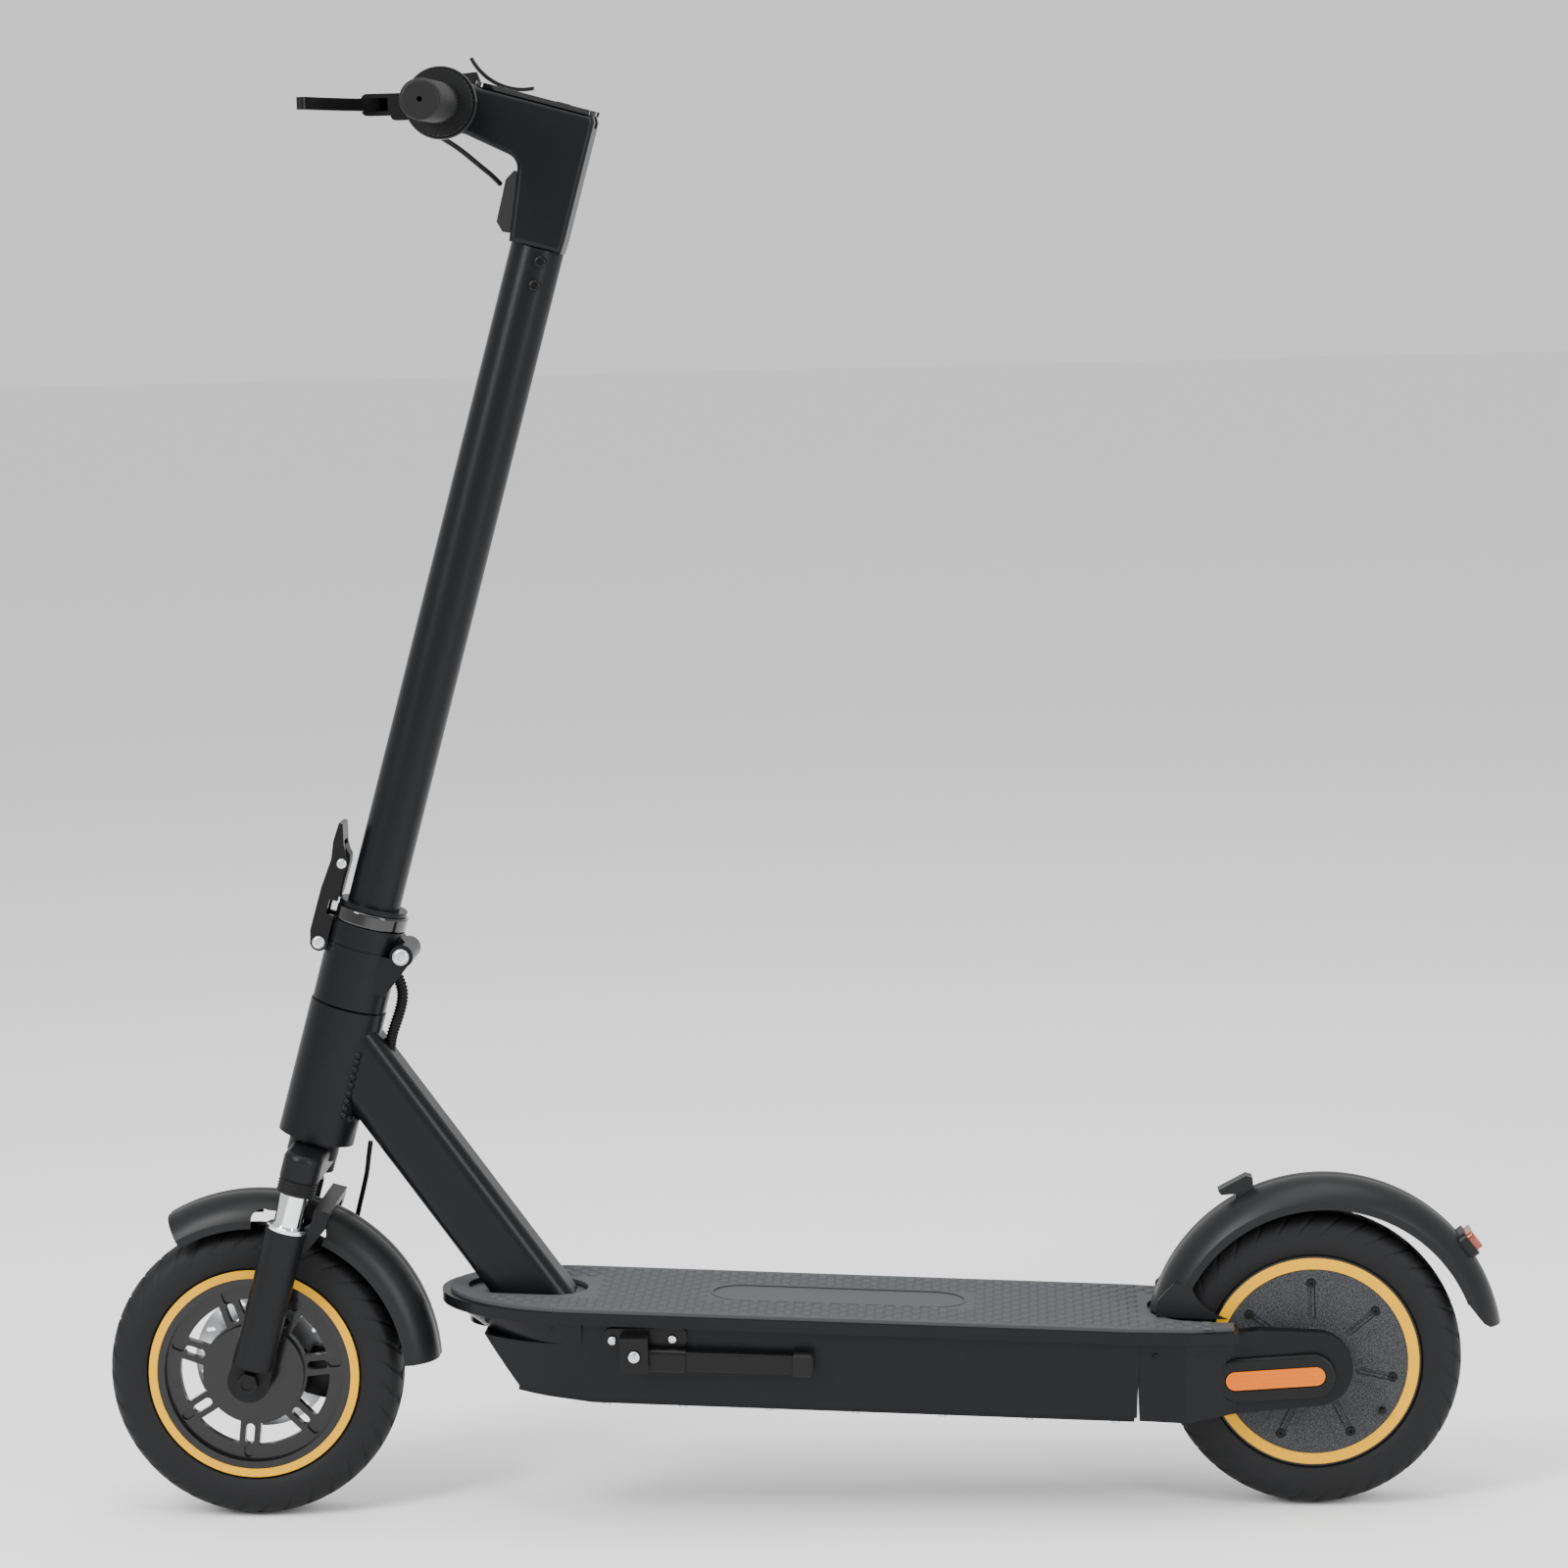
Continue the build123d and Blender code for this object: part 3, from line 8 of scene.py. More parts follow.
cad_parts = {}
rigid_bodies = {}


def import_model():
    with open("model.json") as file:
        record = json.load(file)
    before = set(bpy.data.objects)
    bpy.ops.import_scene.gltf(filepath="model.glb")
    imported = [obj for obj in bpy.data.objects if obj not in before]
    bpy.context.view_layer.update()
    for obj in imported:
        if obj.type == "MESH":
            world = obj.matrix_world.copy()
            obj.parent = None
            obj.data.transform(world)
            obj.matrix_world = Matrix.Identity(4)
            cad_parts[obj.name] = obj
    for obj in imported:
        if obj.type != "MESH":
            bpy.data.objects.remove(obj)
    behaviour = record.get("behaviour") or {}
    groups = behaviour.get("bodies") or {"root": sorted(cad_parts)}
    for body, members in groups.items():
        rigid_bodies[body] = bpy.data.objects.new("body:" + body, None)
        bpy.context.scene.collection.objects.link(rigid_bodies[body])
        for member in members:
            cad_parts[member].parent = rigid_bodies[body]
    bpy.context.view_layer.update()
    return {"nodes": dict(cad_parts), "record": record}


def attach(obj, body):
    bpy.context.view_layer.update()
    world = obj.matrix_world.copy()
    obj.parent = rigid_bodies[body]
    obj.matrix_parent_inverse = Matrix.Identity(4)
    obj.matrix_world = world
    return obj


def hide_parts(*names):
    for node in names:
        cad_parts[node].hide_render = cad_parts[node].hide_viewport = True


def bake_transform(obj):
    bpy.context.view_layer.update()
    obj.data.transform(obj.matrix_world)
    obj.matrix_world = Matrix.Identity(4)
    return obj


for old in list(bpy.data.objects):
    bpy.data.objects.remove(old)

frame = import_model()

# ---------------------------------------------------------------- the scooter's own frames
HEAD_ANGLE = radians(15.96)
DECK_TILT = radians(2.8)
WHEEL_R = 0.1275
DECK_TOP = 0.1855

S = Vector((sin(HEAD_ANGLE), 0, cos(HEAD_ANGLE)))
N = Vector((S.z, 0, -S.x))
Y = Vector((0, 1, 0))
FRONT = Vector((-0.472, 0, WHEEL_R))
REAR = Vector((0.44, 0, WHEEL_R))
DECK_UP = Vector((sin(DECK_TILT), 0, cos(DECK_TILT)))
DECK_ALONG = Vector((DECK_UP.z, 0, -DECK_UP.x))


def steer(n, t, y=0.0):
    """A point n mm behind the front axle across the head tube, t mm up along it, and y mm to the right."""
    return FRONT + N * (n / 1000) + S * (t / 1000) + Y * (y / 1000)


def deck(u, y, w=0.0):
    """A point on the deck's top, u mm back, y mm to the right and w mm above it."""
    return Vector((0, 0, DECK_TOP)) + DECK_ALONG * (u / 1000) + Y * (y / 1000) + DECK_UP * (w / 1000)


BAR = steer(-95.6, 1096.4)


# ---------------------------------------------------------------- materials
def shader(name, colour, rough, metal=0.0, coat=0.0, spec=0.16):
    mat = bpy.data.materials.new(name)
    mat.use_nodes = True
    bsdf = mat.node_tree.nodes["Principled BSDF"]
    bsdf.inputs["Base Color"].default_value = (*colour, 1)
    bsdf.inputs["Roughness"].default_value = rough
    bsdf.inputs["Metallic"].default_value = metal
    bsdf.inputs["Coat Weight"].default_value = coat
    bsdf.inputs["Coat Roughness"].default_value = 0.08
    bsdf.inputs["Specular IOR Level"].default_value = spec
    return mat, bsdf


def bumped(name, colour, rough, scale, depth, vary=0.0, speck=0.0, **more):
    """A finish with a fine grain in its bump, and if asked, uneven roughness and flecks of colour."""
    mat, bsdf = shader(name, colour, rough, **more)
    tree = mat.node_tree
    coord = tree.nodes.new("ShaderNodeTexCoord")
    noise = tree.nodes.new("ShaderNodeTexNoise")
    noise.inputs["Scale"].default_value = scale
    noise.inputs["Detail"].default_value = 4
    bump = tree.nodes.new("ShaderNodeBump")
    bump.inputs["Strength"].default_value = 0.35
    bump.inputs["Distance"].default_value = depth
    tree.links.new(coord.outputs["Object"], noise.inputs["Vector"])
    tree.links.new(noise.outputs["Fac"], bump.inputs["Height"])
    tree.links.new(bump.outputs["Normal"], bsdf.inputs["Normal"])
    if vary:
        wear = tree.nodes.new("ShaderNodeTexNoise")
        wear.inputs["Scale"].default_value = 9
        wear.inputs["Detail"].default_value = 6
        tree.links.new(coord.outputs["Object"], wear.inputs["Vector"])
        spread = tree.nodes.new("ShaderNodeMapRange")
        spread.inputs["To Min"].default_value = rough - vary
        spread.inputs["To Max"].default_value = rough + vary
        tree.links.new(wear.outputs["Fac"], spread.inputs["Value"])
        tree.links.new(spread.outputs["Result"], bsdf.inputs["Roughness"])
    if speck:
        grain = tree.nodes.new("ShaderNodeTexNoise")
        grain.inputs["Scale"].default_value = 900
        grain.inputs["Detail"].default_value = 2
        tree.links.new(coord.outputs["Object"], grain.inputs["Vector"])
        ramp = tree.nodes.new("ShaderNodeValToRGB")
        ramp.color_ramp.elements[0].position = 0.4
        ramp.color_ramp.elements[0].color = (*[c * (1 - speck) for c in colour], 1)
        ramp.color_ramp.elements[1].position = 0.62
        ramp.color_ramp.elements[1].color = (*[c * (1 + speck) for c in colour], 1)
        tree.links.new(grain.outputs["Fac"], ramp.inputs["Fac"])
        tree.links.new(ramp.outputs["Color"], bsdf.inputs["Base Color"])
    return mat


LOOKS = {
    "frame_paint": bumped("frame_paint", (0.0042, 0.0045, 0.0054), 0.31, 1400, 0.00012, 0.04),
    "fork_paint": bumped("fork_paint", (0.005, 0.0052, 0.006), 0.38, 1300, 0.00014, 0.04),
    "black_metal": bumped("black_metal", (0.005, 0.005, 0.0055), 0.28, 900, 0.00008, 0.04),
    "steel": bumped("steel", (0.60, 0.61, 0.63), 0.30, 500, 0.00005, 0.06, metal=1.0),
    "chrome_steel": bumped("chrome_steel", (0.82, 0.83, 0.85), 0.10, 200, 0.00002, 0.03, metal=1.0),
    "hub_cast": bumped("hub_cast", (0.0055, 0.0055, 0.006), 0.26, 700, 0.0001, 0.05, coat=0.4),
    "cover_cast": bumped("cover_cast", (0.034, 0.035, 0.038), 0.55, 900, 0.0003, 0.05, speck=0.55),
    "bearing_steel": bumped("bearing_steel", (0.5, 0.51, 0.53), 0.28, 300, 0.00004, metal=1.0),
    "tyre_rubber": bumped("tyre_rubber", (0.0085, 0.0087, 0.0095), 0.60, 1100, 0.00025, 0.06),
    "mat_rubber": bumped("mat_rubber", (0.060, 0.062, 0.067), 0.62, 1200, 0.0003, 0.05),
    "soft_rubber": bumped("soft_rubber", (0.008, 0.008, 0.0085), 0.5, 1000, 0.0002, 0.05),
    "fender_plastic": bumped("fender_plastic", (0.0095, 0.0098, 0.0105), 0.36, 1500, 0.00012, 0.04),
    "trim_plastic": bumped("trim_plastic", (0.006, 0.0062, 0.0066), 0.4, 1200, 0.00012, 0.04),
    "gloss_black": bumped("gloss_black", (0.004, 0.004, 0.0045), 0.08, 60, 0.00001, 0.02, coat=1.0),
    "reflector": bumped("reflector", (0.60, 0.13, 0.0), 0.35, 400, 0.0001),
    "lamp_red": bumped("lamp_red", (0.22, 0.03, 0.004), 0.14, 120, 0.00005, coat=1.0),
    "cable_black": bumped("cable_black", (0.005, 0.005, 0.0055), 0.40, 900, 0.00006),
    "battery_wrap": bumped("battery_wrap", (0.03, 0.09, 0.25), 0.35, 200, 0.0001),
    "board_case": bumped("board_case", (0.5, 0.51, 0.53), 0.4, 300, 0.0001, metal=1.0),
    "copper_coils": bumped("copper_coils", (0.55, 0.24, 0.10), 0.4, 300, 0.0002, metal=1.0),
}
YELLOW = bumped("rim_yellow", (0.66, 0.33, 0.0), 0.45, 900, 0.00006)
SLOT_OF = {row["node"]: row["material_slot"] for row in frame["record"]["subparts"]}
for node, obj in frame["nodes"].items():
    obj.data.materials.clear()
    obj.data.materials.append(LOOKS[SLOT_OF[node]])


# ---------------------------------------------------------------- piece makers
def solid(name, verts, faces, look, body, slot, smooth=True):
    mesh = bpy.data.meshes.new(name)
    mesh.from_pydata([tuple(v) for v in verts], [], faces)
    mesh.update()
    obj = bpy.data.objects.new(name, mesh)
    bpy.context.collection.objects.link(obj)
    mesh.materials.append(look if look else LOOKS[slot])
    if smooth:
        mesh.shade_smooth()
        mesh.set_sharp_from_angle(angle=radians(38))
    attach(obj, body)
    return obj


def basis(axis):
    axis = Vector(axis).normalized()
    first = Vector((0, 0, 1)) if abs(axis.z) < 0.9 else Vector((1, 0, 0))
    across = axis.cross(first).normalized()
    return across, axis.cross(across).normalized(), axis


def lathe_data(centre, axis, profile, steps=96, shape=None):
    """Turns (radius, along) pairs, in mm and closed on themselves, about an axis."""
    a, b, c = basis(axis)
    verts, faces = [], []
    count = len(profile)
    for i in range(steps):
        turn = 2 * pi * i / steps
        way = a * cos(turn) + b * sin(turn)
        for j, (r, h) in enumerate(profile):
            extra = shape(i, j, r, h) if shape else 0.0
            verts.append(centre + way * ((r + extra) / 1000) + c * (h / 1000))
    for i in range(steps):
        for j in range(count):
            k, m = (i + 1) % steps, (j + 1) % count
            faces.append((i * count + j, i * count + m, k * count + m, k * count + j))
    return verts, faces


def lathe(name, centre, axis, profile, body, slot, look=None, steps=96, shape=None):
    verts, faces = lathe_data(centre, axis, profile, steps, shape)
    return solid(name, verts, faces, look, body, slot)


def merged(name, parts, body, slot, smooth=True):
    verts, faces = [], []
    for v, f in parts:
        start = len(verts)
        verts += v
        faces += [tuple(i + start for i in one) for one in f]
    return solid(name, verts, faces, None, body, slot, smooth)


def button_head(centre, axis, r, tall=2.2, socket=0.5):
    """A domed screw head with a hex socket, as vertices and faces; radii in mm."""
    a, b, c = basis(axis)
    rings = [(r, 0), (r, tall * 0.25), (r * 0.9, tall * 0.7), (r * 0.72, tall * 0.95), (r * socket, tall)]
    verts, faces = [], []
    steps = 24
    for radius, up in rings:
        for i in range(steps):
            turn = 2 * pi * i / steps
            verts.append(centre + (a * cos(turn) + b * sin(turn)) * (radius / 1000) + c * (up / 1000))
    for deep in (tall, tall * 0.35):
        for i in range(steps):
            turn = 2 * pi * i / steps
            hexed = r * socket * 0.92 * cos(pi / 6) / cos((turn % (pi / 3)) - pi / 6)
            verts.append(centre + (a * cos(turn) + b * sin(turn)) * (hexed / 1000) + c * (deep / 1000))
    layers = len(rings) + 2
    for j in range(layers - 1):
        for i in range(steps):
            k = (i + 1) % steps
            faces.append((j * steps + i, j * steps + k, (j + 1) * steps + k, (j + 1) * steps + i))
    faces.append(tuple((layers - 1) * steps + i for i in range(steps)))
    return verts, faces


def block(centre, a, b, c, size):
    """A box from its centre, three directions and its size in mm."""
    verts = []
    for i in (-1, 1):
        for j in (-1, 1):
            for k in (-1, 1):
                across = a * (i * size[0] / 2000) + b * (j * size[1] / 2000)
                verts.append(centre + across + c * (k * size[2] / 2000))
    faces = [(0, 1, 3, 2), (4, 6, 7, 5), (0, 4, 5, 1), (2, 3, 7, 6), (0, 2, 6, 4), (1, 5, 7, 3)]
    return verts, faces


def stud(centre, a, b, c, long, wide, tall):
    """A low lozenge stud with sloping sides, in mm."""
    verts, faces = [], []
    for up, grow in ((0, 1.0), (tall, 0.72)):
        for x, y in ((-0.5, 0), (-0.28, -0.5), (0.28, -0.5), (0.5, 0), (0.28, 0.5), (-0.28, 0.5)):
            flat = a * (x * long * grow / 1000) + b * (y * wide * grow / 1000)
            verts.append(centre + flat + c * (up / 1000))
    faces = [(i, (i + 1) % 6, 6 + (i + 1) % 6, 6 + i) for i in range(6)]
    faces.append((6, 7, 8, 9, 10, 11))
    return verts, faces


def cable(name, points, radius, body, slot="cable_black"):
    """A smooth round cable through points in metres; radius in mm."""
    data = bpy.data.curves.new(name, "CURVE")
    data.dimensions = "3D"
    line = data.splines.new("NURBS")
    line.points.add(len(points) - 1)
    for p, co in zip(line.points, points):
        p.co = (*co, 1)
    line.order_u = 3
    line.use_endpoint_u = True
    line.resolution_u = 10
    data.bevel_depth = radius / 1000
    data.bevel_resolution = 5
    data.use_fill_caps = True
    obj = bpy.data.objects.new(name, data)
    bpy.context.collection.objects.link(obj)
    data.materials.append(LOOKS[slot])
    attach(obj, body)
    return obj


def centreline(points, count):
    """Evenly spaced points read off the same smooth curve that a cable through these points follows."""
    obj = cable("centreline", points, 0, "frame")
    mesh = bpy.data.meshes.new_from_object(obj)
    bpy.data.objects.remove(obj)
    line = [v.co.copy() for v in mesh.vertices]
    bpy.data.meshes.remove(mesh)
    reach = [0.0]
    for before, after in zip(line, line[1:]):
        reach.append(reach[-1] + (after - before).length)
    out, k = [], 0
    for i in range(count):
        want = reach[-1] * i / (count - 1)
        while k < len(line) - 2 and reach[k + 1] < want:
            k += 1
        out.append(line[k].lerp(line[k + 1], (want - reach[k]) / (reach[k + 1] - reach[k])))
    return out


def bead(points, normals, r, height):
    """A weld: overlapping flattened ripples along a line of points, in mm."""
    out = []
    for p, nrm in zip(points, normals):
        a, b, c = basis(nrm)
        verts, faces = [], []
        for j, (ring, up) in enumerate(((1.0, 0.0), (0.85, 0.45), (0.5, 0.75), (0.08, 0.85))):
            for i in range(10):
                turn = 2 * pi * i / 10
                way = a * cos(turn) + b * sin(turn)
                verts.append(p + way * (r * ring / 1000) + c * (r * up * height / 1000))
        for j in range(3):
            for i in range(10):
                k = (i + 1) % 10
                faces.append((j * 10 + i, j * 10 + k, (j + 1) * 10 + k, (j + 1) * 10 + i))
        faces.append(tuple(30 + i for i in range(10)))
        out.append((verts, faces))
    return out


# ---------------------------------------------------------------- tyres with cut treads
OUTER = [(-25.4, 93.6), (-27.4, 97.5), (-28.8, 102), (-29.3, 106), (-28.9, 111), (-27.9, 115),
         (-26.4, 118.2), (-24.4, 120.9), (-21.9, 122.9), (-18.8, 124.6), (-15.5, 125.7), (-12, 126.5),
         (-8, 127.05), (-4, 127.35), (0, 127.45)]
OUTER = OUTER + [(-y, r) for y, r in reversed(OUTER[:-1])]


def finer(rows):
    """The same outline with a point about every 0.9 mm."""
    out = []
    for (y0, r0), (y1, r1) in zip(rows, rows[1:]):
        steps = max(1, int(sqrt((y1 - y0) ** 2 + (r1 - r0) ** 2) / 0.9))
        for k in range(steps):
            out.append((y0 + (y1 - y0) * k / steps, r0 + (r1 - r0) * k / steps))
    out.append(rows[-1])
    return out


def tread(turn, y, r):
    """How deep the tread is cut, in mm: sweeping shoulder grooves and short centre sipes."""
    if r < 112:
        return 0.9 * (1 if 103.0 < r < 103.9 else 0)
    side = 1 if y > 0 else -1
    across = abs(y)
    pitch = 2 * pi / 36
    lean = (across - 6) * 0.0062 + (max(0, 122 - r)) * 0.006
    place = ((turn * side + lean) / pitch) % 1.0
    cut = 0.0
    if 7 < across:
        away = abs(place - 0.5) * pitch * 124
        cut = max(cut, 1.9 * max(0.0, min(1.0, (2.1 - away) / 0.8)))
    second = ((turn * side - across * 0.0035) / pitch + 0.5) % 1.0
    if across < 12.5:
        away = abs(second - 0.5) * pitch * 124
        cut = max(cut, 1.5 * max(0.0, min(1.0, (1.5 - away) / 0.7)))
    return cut


def tyre(name, axle, body, node):
    rows = finer(OUTER)
    steps = 900
    verts, faces = [], []
    inner = [(22.4, 92.6), (22.4, 87.0), (-22.4, 87.0), (-22.4, 92.6)]
    count = len(rows) + len(inner)
    for i in range(steps):
        turn = 2 * pi * i / steps
        way = Vector((cos(turn), 0, sin(turn)))
        for y, r in rows:
            verts.append(axle + way * ((r - tread(turn, y, r)) / 1000) + Y * (y / 1000))
        for y, r in inner:
            verts.append(axle + way * (r / 1000) + Y * (y / 1000))
    for i in range(steps):
        k = (i + 1) % steps
        for j in range(count):
            m = (j + 1) % count
            faces.append((i * count + j, k * count + j, k * count + m, i * count + m))
    obj = solid(name, verts, faces, None, body, "tyre_rubber")
    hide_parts(node)


tyre("front_tyre_treaded", FRONT, "front_wheel", "front_tyre")
tyre("rear_tyre_treaded", REAR, "rear_wheel", "rear_tyre")

# painted rim flanges, as (wheel, axle, inner radius, outer radius)
for side, where in ((-1, "left"), (1, "right")):
    for wheel, axle, inside, outside in (("front", FRONT, 84.2, 91.2), ("rear", REAR, 80.4, 89.6)):
        ring = [(inside, 25.0 * side), (outside, 25.0 * side), (outside + 0.4, 25.5 * side),
                (outside, 26.0 * side), (inside, 26.0 * side)]
        lathe(f"{wheel}_rim_band_{where}", axle, Y, ring, f"{wheel}_wheel", "hub_cast", YELLOW, 160)

# ---------------------------------------------------------------- deck mat studs
studs = []
for row in range(-8, 9):
    y = row * 8.9
    for column in range(43):
        u = -298 + 15.4 * column + (7.7 if row % 2 else 0)
        reach = 78.0
        if u < -191:
            reach = 78.0 * sqrt(max(0.0, 1 - ((-191 - u) / 104) ** 2))
        foot = abs(y) < 36 and -292 < u < -172
        panel = abs(y) < 33 and -82 < u < 151
        fender = abs(y) < 52 and u > 293
        if abs(y) < reach - 4 and u < 350 and not foot and not panel and not fender:
            studs.append(stud(deck(u, y, -0.05), DECK_ALONG, Y, DECK_UP, 10.6, 6.4, 1.4))
merged("mat_studs", studs, "frame", "mat_rubber", smooth=False)


def stadium(half_long, half_wide, steps=14):
    out = []
    for end in (1, -1):
        for i in range(steps + 1):
            a = -pi / 2 + pi * i / steps
            out.append((end * (half_long - half_wide) + end * half_wide * cos(a), end * half_wide * sin(a)))
    return out


def raised_rim(place, outer, inner, tall):
    """A raised border between two outlines of the same count."""
    count = len(outer)
    verts = [place(x, y, 0) for x, y in outer] + [place(x, y, tall) for x, y in outer]
    verts += [place(x, y, tall) for x, y in inner] + [place(x, y, 0) for x, y in inner]
    faces = []
    for j in range(3):
        for i in range(count):
            k = (i + 1) % count
            faces.append((j * count + i, j * count + k, (j + 1) * count + k, (j + 1) * count + i))
    return verts, faces


PANEL_U = 34.5
panel_rim = raised_rim(lambda x, y, w: deck(PANEL_U + x, y, w - 0.02),
                       stadium(110.5, 29.5), stadium(108.6, 27.6), 0.6)
merged("mat_panel_rim", [panel_rim], "frame", "mat_rubber")

# ---------------------------------------------------------------- screw heads
screws = []
for x, z, in ((-0.1545, 0.1682), (-0.1035, 0.1682)):
    screws.append(button_head(Vector((x, -0.0858, z)), -Y, 3.9, 1.6))
screws.append(button_head(Vector((-0.1349, -0.1034, 0.1579)), -Y, 5.2, 2.2, 0.2))
merged("stand_screws", screws, "frame", "steel")
heads = []
for side in (-1, 1):
    heads.append(button_head(steer(36, 388, side * 30.4), Y * side, 6.6, 1.8))
    heads.append(button_head(steer(-36.5, 380, side * 18.4), Y * side, 5.3, 1.6))
merged("hinge_screw_heads", heads, "steer", "steel")
heads = [button_head(steer(-33.7, 450.7, side * 15.4), Y * side, 4.4, 1.3) for side in (-1, 1)]
merged("catch_screw_heads", heads, "safety_catch", "steel")
heads = []
for n, t in ((7, 989), (7.3, 968.5)):
    for side in (-1, 1):
        heads.append(button_head(steer(n, t, side * 22.6), Y * side, 5.2, 2.0))
merged("stem_screw_heads", heads, "stem", "black_metal")
NOSE_U, NOSE_LONG, NOSE_WIDE = -191, 103, 83.6
heads = []
for side in (-1, 1):
    for angle in (98, 134):
        ahead, aside = cos(radians(angle)), sin(radians(angle))
        out = (DECK_ALONG * (ahead / NOSE_LONG) + Y * (side * aside / NOSE_WIDE)).normalized()
        place = deck(NOSE_U + NOSE_LONG * ahead, side * (NOSE_WIDE * aside), -17)
        heads.append(button_head(place, out, 2.6, 1.2))
    heads.append(button_head(deck(306, side * 76.6, -24), Y * side, 2.6, 1.2))
    heads.append(button_head(deck(340, side * 68.0, -24), (Y * side + DECK_ALONG * 0.4), 2.6, 1.2))
merged("shroud_screws", heads, "frame", "black_metal")

# chrome seals and bands on the fork
for side in (-1, 1):
    where = "left" if side < 0 else "right"
    lathe(f"fork_seal_{where}", steer(0, 138, side * 54), S,
          [(12.5, 0), (16.8, 0), (17.3, 1), (17.3, 3.4), (16.4, 4.4), (12.5, 4.4)],
          "fork_lower", "chrome_steel")
    ribs = [(16.0, 0)]
    for k in range(5):
        ribs += [(16.0, 0.5 + k * 2.7), (16.9, 1.3 + k * 2.7), (16.0, 2.2 + k * 2.7)]
    ribs += [(16.0, 14), (15.2, 14.6), (12.6, 14.6), (12.6, 0)]
    lathe(f"boot_ribs_{where}", steer(0, 171.6, side * 54), S, ribs, "steer", "soft_rubber")

# ---------------------------------------------------------------- grips: knurl and ribbed collar
def grip(name, near, far, side):
    rows = int((far - near - 5) / 0.9)
    profile = [(16.5, side * (near + 3.0 + k * 0.9)) for k in range(rows)]
    low = [(15.6, profile[-1][1]), (15.6, profile[0][1])]

    def knurl(i, j, r, h):
        if r < 16:
            return 0.0
        if h * side < near + 16:
            return 0.75 * (1 if (i // 2) % 2 else 0)
        if h * side < near + 20:
            return -0.4
        a = abs(((i / 5.0 + h / 3.2) % 1) - 0.5)
        b = abs(((i / 5.0 - h / 3.2) % 1) - 0.5)
        return 0.45 * min(a, b) * 2
    lathe(name, BAR, Y, profile + low, "stem", "soft_rubber", steps=160, shape=knurl)


grip("grip_knurl_left", 118, 233, -1)
grip("grip_knurl_right", 130, 233, 1)
lathe("bell_teeth", BAR, Y, [(25.8, -103.8), (26.4, -103.8), (26.4, -115.6), (25.8, -115.6)],
      "bell_ring", "trim_plastic", steps=160,
      shape=lambda i, j, r, h: 0.8 * (1 if (i // 2) % 2 else 0) if r > 26 else 0)
lathe("perch_bright_rim", BAR, Y, [(28.6, -103.3), (29.7, -103.1), (29.9, -102.2), (28.6, -102.4)],
      "stem", "gloss_black")

# ---------------------------------------------------------------- welds
points, normals = [], []
for k in range(34):
    a = 2 * pi * k / 34
    y = 25.5 * max(-1, min(1, 1.35 * cos(a)))
    t = 29.5 * max(-1, min(1, 1.35 * sin(a)))
    n = sqrt(33.2 ** 2 - min(abs(y), 32) ** 2)
    points.append(steer(n, 268 + t, y))
    normals.append((N * n + Y * y).normalized())
merged("head_weld", bead(points, normals, 3.3, 0.7), "frame", "frame_paint")

# ---------------------------------------------------------------- cables that cross the steering and the fork
def bending_tube(name, points, radius, bodies, start, end, slot="cable_black"):
    """A round cable, made as a mesh that is not attached to any body. Points in metres, radius in mm."""
    obj = cable(name + "_line", points, radius, bodies[0], slot)
    mesh = bpy.data.meshes.new_from_object(obj)
    bpy.data.objects.remove(obj)
    mesh.shade_smooth()
    tube = bpy.data.objects.new(name, mesh)
    bpy.context.collection.objects.link(tube)
    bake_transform(tube)
    return tube


LOOM_ROUTE = [steer(*p) for p in ((30, 371), (39, 361), (43.5, 350), (44, 338),
                                  (43, 325), (42, 312), (44, 300))]
LOOM_BEND = {"bodies": ("steer", "frame"), "start": steer(40, 364), "end": steer(43, 322)}
loom = bending_tube("loom_tube", LOOM_ROUTE, 4.2, **LOOM_BEND)
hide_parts("wiring_loom")
wrap = []
turns, per = 26, 12
core = centreline(LOOM_ROUTE, turns * per + 9)
for i in range(4, turns * per + 5):
    way = (core[i + 1] - core[i - 1]).normalized()
    turn = 2 * pi * i / per
    out = Y * cos(turn) + way.cross(Y).normalized() * sin(turn)
    wrap.append(core[i] + out * 0.0044)
bending_tube("loom_wrap", wrap, 0.9, **LOOM_BEND)

# The brake hose meets itself at JOIN, a point given in the steering's frame.
JOIN = (47, 150, 47)
UPPER_RUN = [steer(*p) for p in ((45, 214, 22), (46, 200, 26), (47, 186, 36), (47, 170, 44), JOIN)]
LOWER_RUN = [steer(*p) for p in (JOIN, (48, 122, 48), (46.5, 85, 49), (47.5, 56, 44), (47.5, 36, 39))]
upper = bending_tube("brake_hose_upper", UPPER_RUN, 2.2, ("frame", "steer"), UPPER_RUN[0], steer(47, 158, 46))
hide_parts("brake_cable_lower")
bending_tube("brake_hose_lower", LOWER_RUN, 2.2, ("steer", "fork_lower"),
             steer(47, 140, 47), steer(47, 66, 46))

HEAD_RUN = [Vector(p) / 1000 for p in ((-296, -88, 1201), (-285, -86, 1196), (-270, -77, 1183),
                                       (-254, -62, 1172), (-238, -40, 1156), (-230, -24, 1148),
                                       (-226, -12, 1142))]
head_hose = cable("brake_hose_head", HEAD_RUN, 2.2, "stem")
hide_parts("brake_cable_upper")

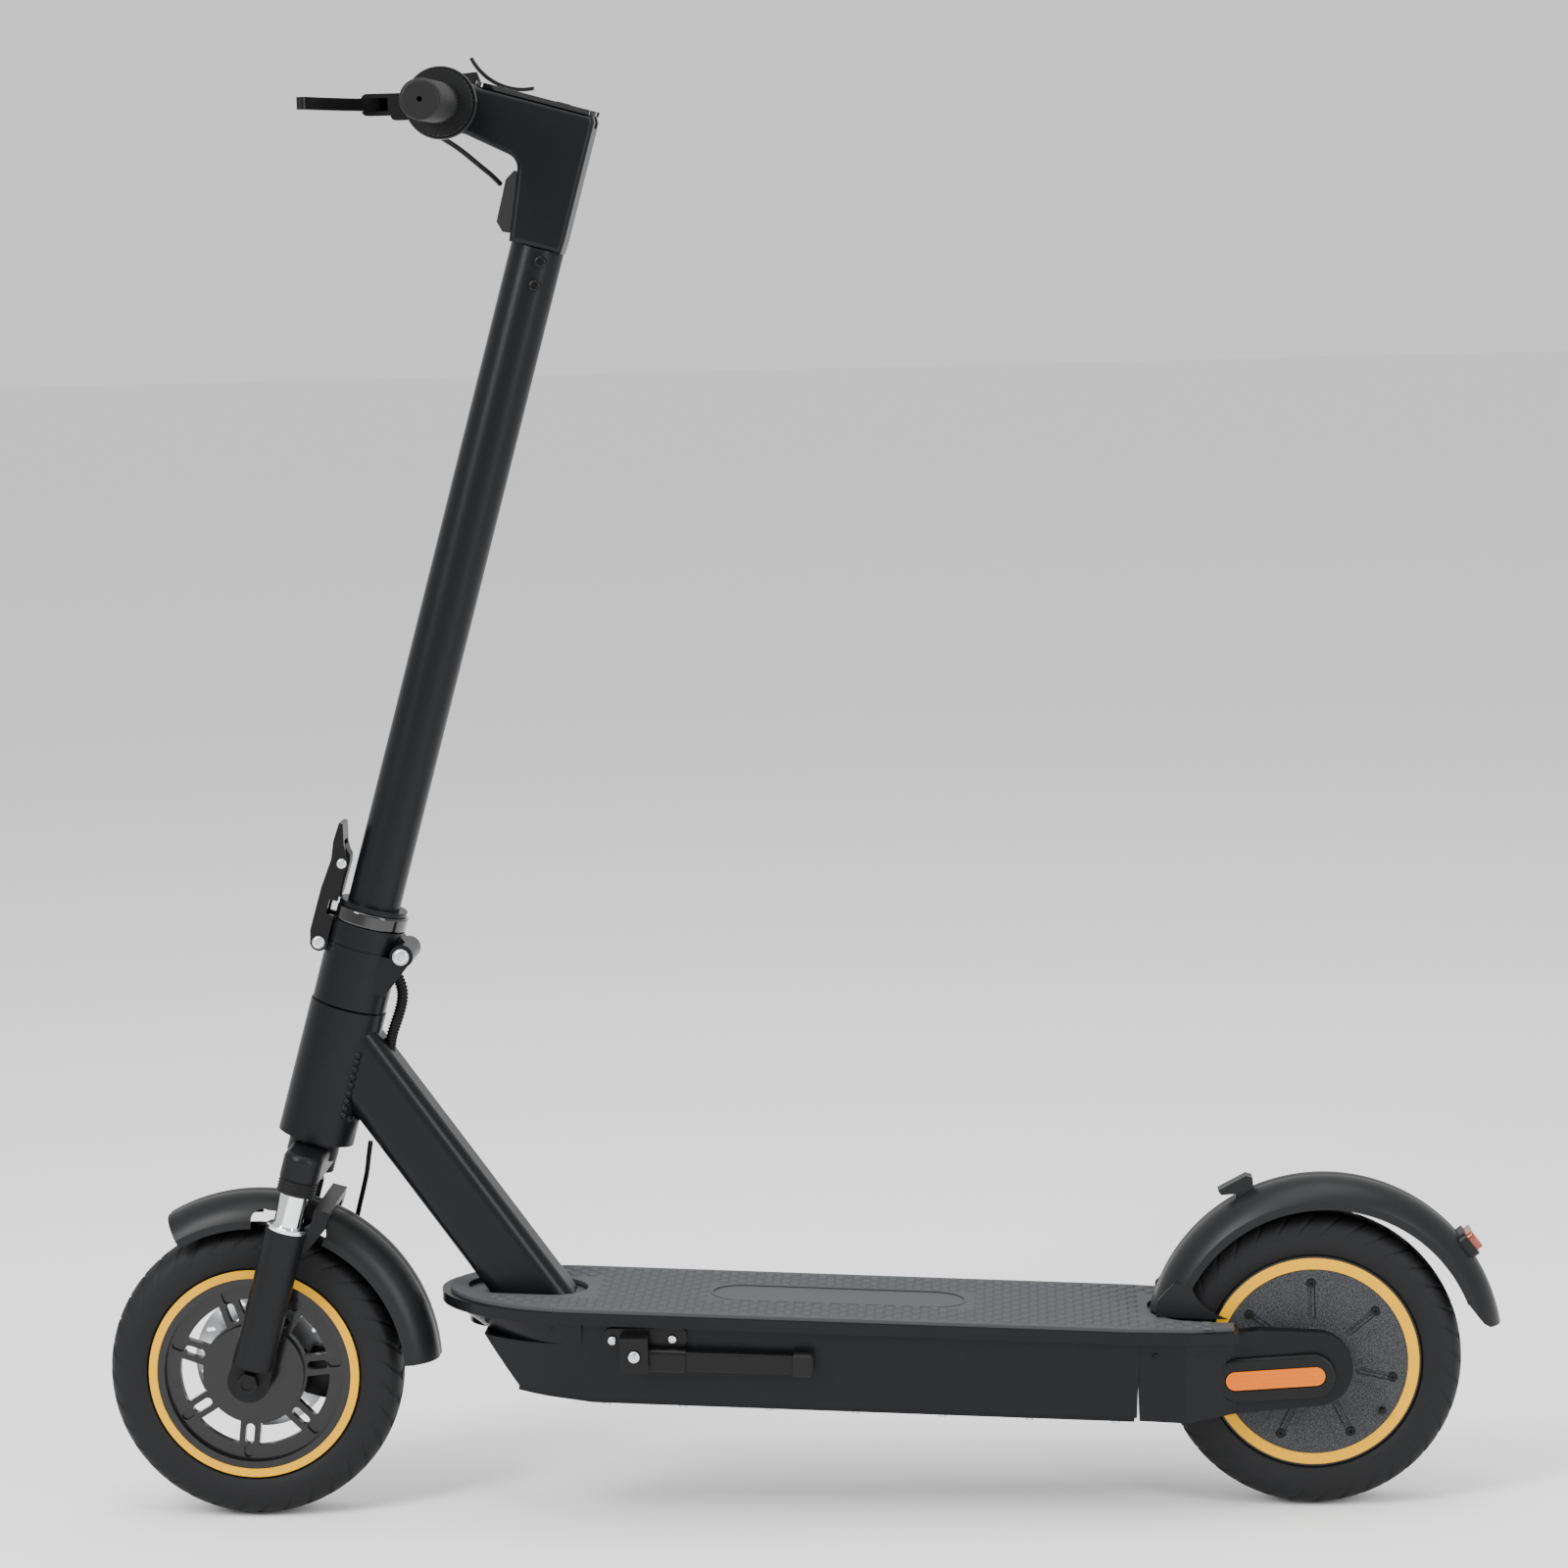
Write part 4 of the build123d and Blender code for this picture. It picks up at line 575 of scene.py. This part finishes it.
# ---------------------------------------------------------------- motor cover relief
RIB_GROUPS = 7
ribs = []
for k in range(RIB_GROUPS):
    for sub in (-0.22, 0.0, 0.22):
        a = 2 * pi * (k + 0.5) / RIB_GROUPS - pi / 2 + sub
        way = Vector((cos(a), 0, sin(a)))
        along = Vector((-sin(a), 0, cos(a)))
        for side in (-1, 1):
            ribs.append(block(REAR + way * 0.052 + Y * (side * 0.0263), way, along, Y, (24, 1.8, 1.2)))
merged("motor_cover_ribs", ribs, "rear_wheel", "cover_cast", smooth=False)
lathe("valve_stem", REAR + Vector((0.058, -0.026, -0.043)), -Y,
      [(0.1, 0), (3.0, 0), (3.0, 4), (2.4, 6.5), (0.1, 6.5)], "rear_wheel", "black_metal", steps=24)

# reflector prisms
REFLECTOR_TILT = radians(3)
prisms = []
up = Vector((-sin(REFLECTOR_TILT), 0, cos(REFLECTOR_TILT)))
along = Vector((cos(REFLECTOR_TILT), 0, sin(REFLECTOR_TILT)))
for side in (-1, 1):
    for i in range(-15, 16):
        for j in (-1, 0, 1):
            if abs(i) > 13 and j:
                continue
            centre = Vector((0.406, side * 0.0585, 0.121)) + along * (i * 0.0026) + up * (j * 0.0042)
            a = (along + up).normalized()
            b = (along - up).normalized()
            prisms.append(block(centre, a, b, Y, (1.7, 1.7, 0.5)))
merged("reflector_prisms", prisms, "frame", "reflector", smooth=False)

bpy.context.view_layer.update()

# ---------------------------------------------------------------- floor, lights, camera
bpy.ops.mesh.primitive_plane_add(size=60, location=(0, 0, -0.0005))
floor = bpy.context.object
floor.name = "floor"
floor_look, _ = shader("floor_white", (0.93, 0.93, 0.93), 0.9, spec=0.1)
floor.data.materials.append(floor_look)

WORLD_STRENGTH = 0.95
world = bpy.data.worlds.new("studio")
bpy.context.scene.world = world
world.use_nodes = True
world.node_tree.nodes["Background"].inputs["Color"].default_value = (1, 1, 1, 1)
world.node_tree.nodes["Background"].inputs["Strength"].default_value = WORLD_STRENGTH


def area_light(name, place, target, size, power):
    data = bpy.data.lights.new(name, "AREA")
    data.shape = "RECTANGLE"
    data.size, data.size_y = size
    data.energy = power
    obj = bpy.data.objects.new(name, data)
    bpy.context.collection.objects.link(obj)
    obj.location = place
    obj.rotation_mode = "QUATERNION"
    obj.rotation_quaternion = (Vector(target) - Vector(place)).to_track_quat("-Z", "Y")


area_light("key", (-2.0, -2.2, 2.6), (0, 0, 0.5), (0.9, 2.4), 150)
area_light("fill", (2.6, -2.4, 1.6), (0, 0, 0.5), (0.7, 2.6), 90)
area_light("top", (0.2, -0.2, 3.6), (0, 0, 0.2), (3.6, 2.0), 90)

# The camera's place, in metres, its turn, in radians, and its lens, in mm.
CAMERA_PLACE = (0.20756, -3.85197, 1.10734)
LENS = 104.85
yaw, pitch, roll = -0.0542, 0.1232, -0.0255
fwd = Vector((sin(yaw), cos(yaw), 0))
right = Vector((cos(yaw), -sin(yaw), 0))
look = fwd * cos(pitch) - Vector((0, 0, 1)) * sin(pitch)
over = Vector((0, 0, 1)) * cos(pitch) + fwd * sin(pitch)
side = right * cos(roll) + over * sin(roll)
top = over * cos(roll) - right * sin(roll)
camera = bpy.data.cameras.new("camera")
camera.sensor_width = 36
camera.lens = LENS
camera.clip_end = 200
cam = bpy.data.objects.new("camera", camera)
bpy.context.collection.objects.link(cam)
cam.matrix_world = Matrix.Translation(CAMERA_PLACE) @ Matrix((side, top, -look)).transposed().to_4x4()
bpy.context.scene.camera = cam
